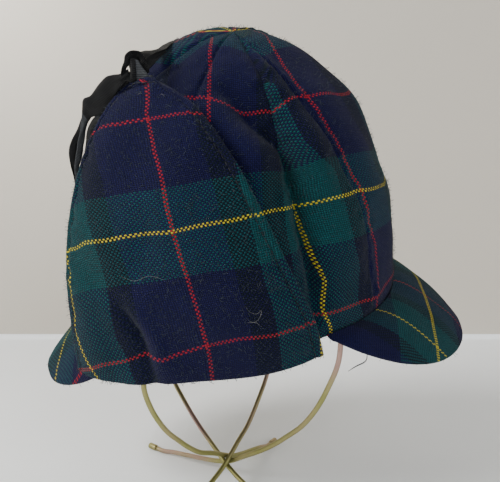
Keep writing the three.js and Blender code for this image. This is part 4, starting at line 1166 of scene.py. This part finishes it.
# The heights, as shares of the stand's, between which a wire moves to the middle plane, comes down
# from its step at the crossing, goes up to its step at the top, and is squeezed in
CENTRED, CROSSING_STEPPED, TOP_STEPPED, SQUEEZED = (0.2, 0.9), (0.06, 0.13), (0.4, 0.95), (0.31, 0.39)
WIRE_POINTS, BAR_SIDES, HAIR_SIDES = 420, 24, 6


def loop_route(loop):
    """A loop's places: from its first foot, over its top, down to its second foot."""
    gap = loop["pass_side"] * (WIRE + SEAM_GAP) / 2
    lift, reach = loop["lift"], loop["foot"]
    top_step = WIRE + SEAM_GAP if lift else 0.0
    halves = []
    for side, splay, turn in zip((1, -1), loop["splays"], loop["foot_turns"]):
        foot = lambda out, up: (-side * out, side * gap + out * math.tan(math.radians(turn)), up)
        points = [foot(reach, CAP_FLAT)]
        for out, up in FOOT_PROFILE[::-1]:
            points.append(foot(out * reach, max(up * (CROSSING_HEIGHT + lift), CAP_FLAT)))
        for out, up in LOOP_PROFILE:
            aside = side * gap * (1 - smoothstep(up, *CENTRED))
            step = lift * (1 - smoothstep(up, *CROSSING_STEPPED)) + top_step * smoothstep(up, *TOP_STEPPED)
            tight = loop["squeeze"] * out * smoothstep(up, *SQUEEZED)
            wide = out * loop["half_width"]
            points.append((side * (wide - tight), aside - wide * math.tan(math.radians(splay)),
                           up * STAND_HEIGHT + step))
        halves.append(points)
    return halves[0] + [(0.0, 0.0, STAND_HEIGHT + top_step)] + halves[1][::-1]


def from_stand(points):
    return (points + STAND_PLACE) / 1000


def swept(name, centres, wide, thick, radii, material, count=BAR_SIDES, placing=from_stand):
    """A round bar along its centres, with its radius at each one."""
    turn = np.linspace(0, 2 * math.pi, count, endpoint=False)[None, :, None]
    circles = np.cos(turn) * wide[:, None] + np.sin(turn) * thick[:, None]
    return bar_piece(name, centres[:, None] + circles * radii[:, None, None], placing, [material])


def frames_along(centres, aside):
    """Two directions square to a line at each of its places."""
    tangent = unit(np.gradient(centres, axis=0))
    wide = unit(np.cross(tangent, aside))
    return wide, unit(np.cross(wide, tangent))


def turned(points, degrees):
    c, s = math.cos(math.radians(degrees)), math.sin(math.radians(degrees))
    return np.asarray(points, float) @ np.array([[c, s, 0], [-s, c, 0], [0, 0, 1]])


# A cap's places along its length in millimetres, each with a share of its radius
CAP_PROFILE = np.array([
    (0, 0.8), (0.15, 0.9), (0.5, 0.97), (1, 1), (2, 1), (4, 1), (6, 1), (7, 0.98), (7.5, 0.9), (7.85, 0.78),
    (8, 0.6)])

for loop in LOOPS:
    route = turned(loop_route(loop), loop["bearing"])
    centres = centripetal(route, WIRE_POINTS)
    across = frames_along(centres, turned([(0, 1, 0)], loop["bearing"])[0])
    wire = swept("wire_loop_" + loop["name"], centres, *across, np.full(len(centres), WIRE / 2), STEEL)
    finish_piece(wire, "wire", "stand_loop_" + loop["name"])
    for side, turn, foot_number in zip((1, -1), loop["foot_turns"], loop["feet"]):
        outward = turned([unit(np.array([-side, math.tan(math.radians(turn)), 0.0]))], loop["bearing"])[0]
        start = (route[0] if side == 1 else route[-1]) + outward * SEAM_GAP
        line = start + CAP_PROFILE[:, :1] * outward
        across = frames_along(line, np.array([0, 0, 1.0]))
        cap = swept(f"wire_foot_{foot_number}", line, *across, CAP_FLAT * CAP_PROFILE[:, 1], STEEL)
        finish_piece(cap, "wire", f"stand_foot_{foot_number}")


def strand(name, places, radius, material, steps=24):
    """A single thread or hair on the hat, thinner at its ends."""
    centres = centripetal(places, steps)
    across = frames_along(centres, np.array([0.3, 0.2, 1.0]))
    thin = 0.4 + 0.6 * np.sin(math.pi * np.linspace(0, 1, steps + 1))
    return swept(name, centres, *across, radius * thin, material, HAIR_SIDES, from_hat)


THREAD_RADIUS, LINT_RADIUS = 0.36, 0.07
finish_piece(strand("loose_thread", LOOSE_THREAD, THREAD_RADIUS, THREAD), "tartan_wool")
hairs = [strand(f"hair_{k}", places, LINT_RADIUS, LINT) for k, places in enumerate(HAIRS)]
finish_piece(join_pieces("lint_hairs", hairs), "tartan_wool")


# ---- floor, light
# The stage in metres: half its width, how far back its wall stands, and the bend at the wall's foot
STAGE_HALF, WALL_BACK, WALL_BEND = 1.6, 0.339, 0.006


def stage():
    """A pale table top with a pale wall close behind it."""
    profile = [(-STAGE_HALF, 0.0), (WALL_BACK - WALL_BEND, 0.0)]
    profile += [(WALL_BACK - WALL_BEND + WALL_BEND * math.sin(a), WALL_BEND - WALL_BEND * math.cos(a))
                for a in np.linspace(0, math.pi / 2, 7)[1:]]
    profile += [(WALL_BACK, STAGE_HALF)]
    c, s = math.cos(LOOK_LEVEL), math.sin(LOOK_LEVEL)
    points = [(x * c - y * s, x * s + y * c, z) for x, z in profile for y in (-STAGE_HALF, STAGE_HALF)]
    faces = [(2 * k, 2 * k + 2, 2 * k + 3, 2 * k + 1) for k in range(len(profile) - 1)]
    paints = (matt_paint("pale_table_top", "#eef1f2", "#f5f7f8", 9.0),
              matt_paint("warm_white_wall", "#c4bdb1", "#c9c2b6", 2.0))
    on_wall = [0] * (len(faces) - 1) + [1]
    make_piece("studio_floor", points, faces, paints, material_of=on_wall, smooth=False)


AIR_STRENGTH = 0.36
LIGHTS = rows_of(
    "name place aim size power tint spread",
    ("window", (-0.75, 1.32, 1.38), (0.05, 0.05, 0.15), 0.84, 42.0, (1.0, 0.99, 0.97), 180),
    ("room", (-1.2, -0.9, 0.9), (0.0, 0.0, 0.15), 1.1, 14.0, (0.96, 0.98, 1.0), 180),
    ("wall_wash", (0.1, 0.62, 0.72), (0.36, 0.36, 0.5), 0.3, 1.0, (1.0, 0.99, 0.97), 60))


def area_light(row):
    data = bpy.data.lights.new(row["name"], "AREA")
    data.shape = "DISK"
    data.size, data.energy, data.color = row["size"], row["power"], row["tint"]
    data.spread = math.radians(row["spread"])
    light = place_object(row["name"], data)
    light.location = row["place"]
    light.rotation_euler = (Vector(row["aim"]) - Vector(row["place"])).to_track_quat("-Z", "Y").to_euler()


stage()
air = bpy.data.worlds.new("studio_air")
air.use_nodes = True
feed(air.node_tree.nodes["Background"], {0: (1.0, 1.0, 1.0, 1.0), 1: AIR_STRENGTH})
bpy.context.scene.world = air
for row in LIGHTS:
    area_light(row)
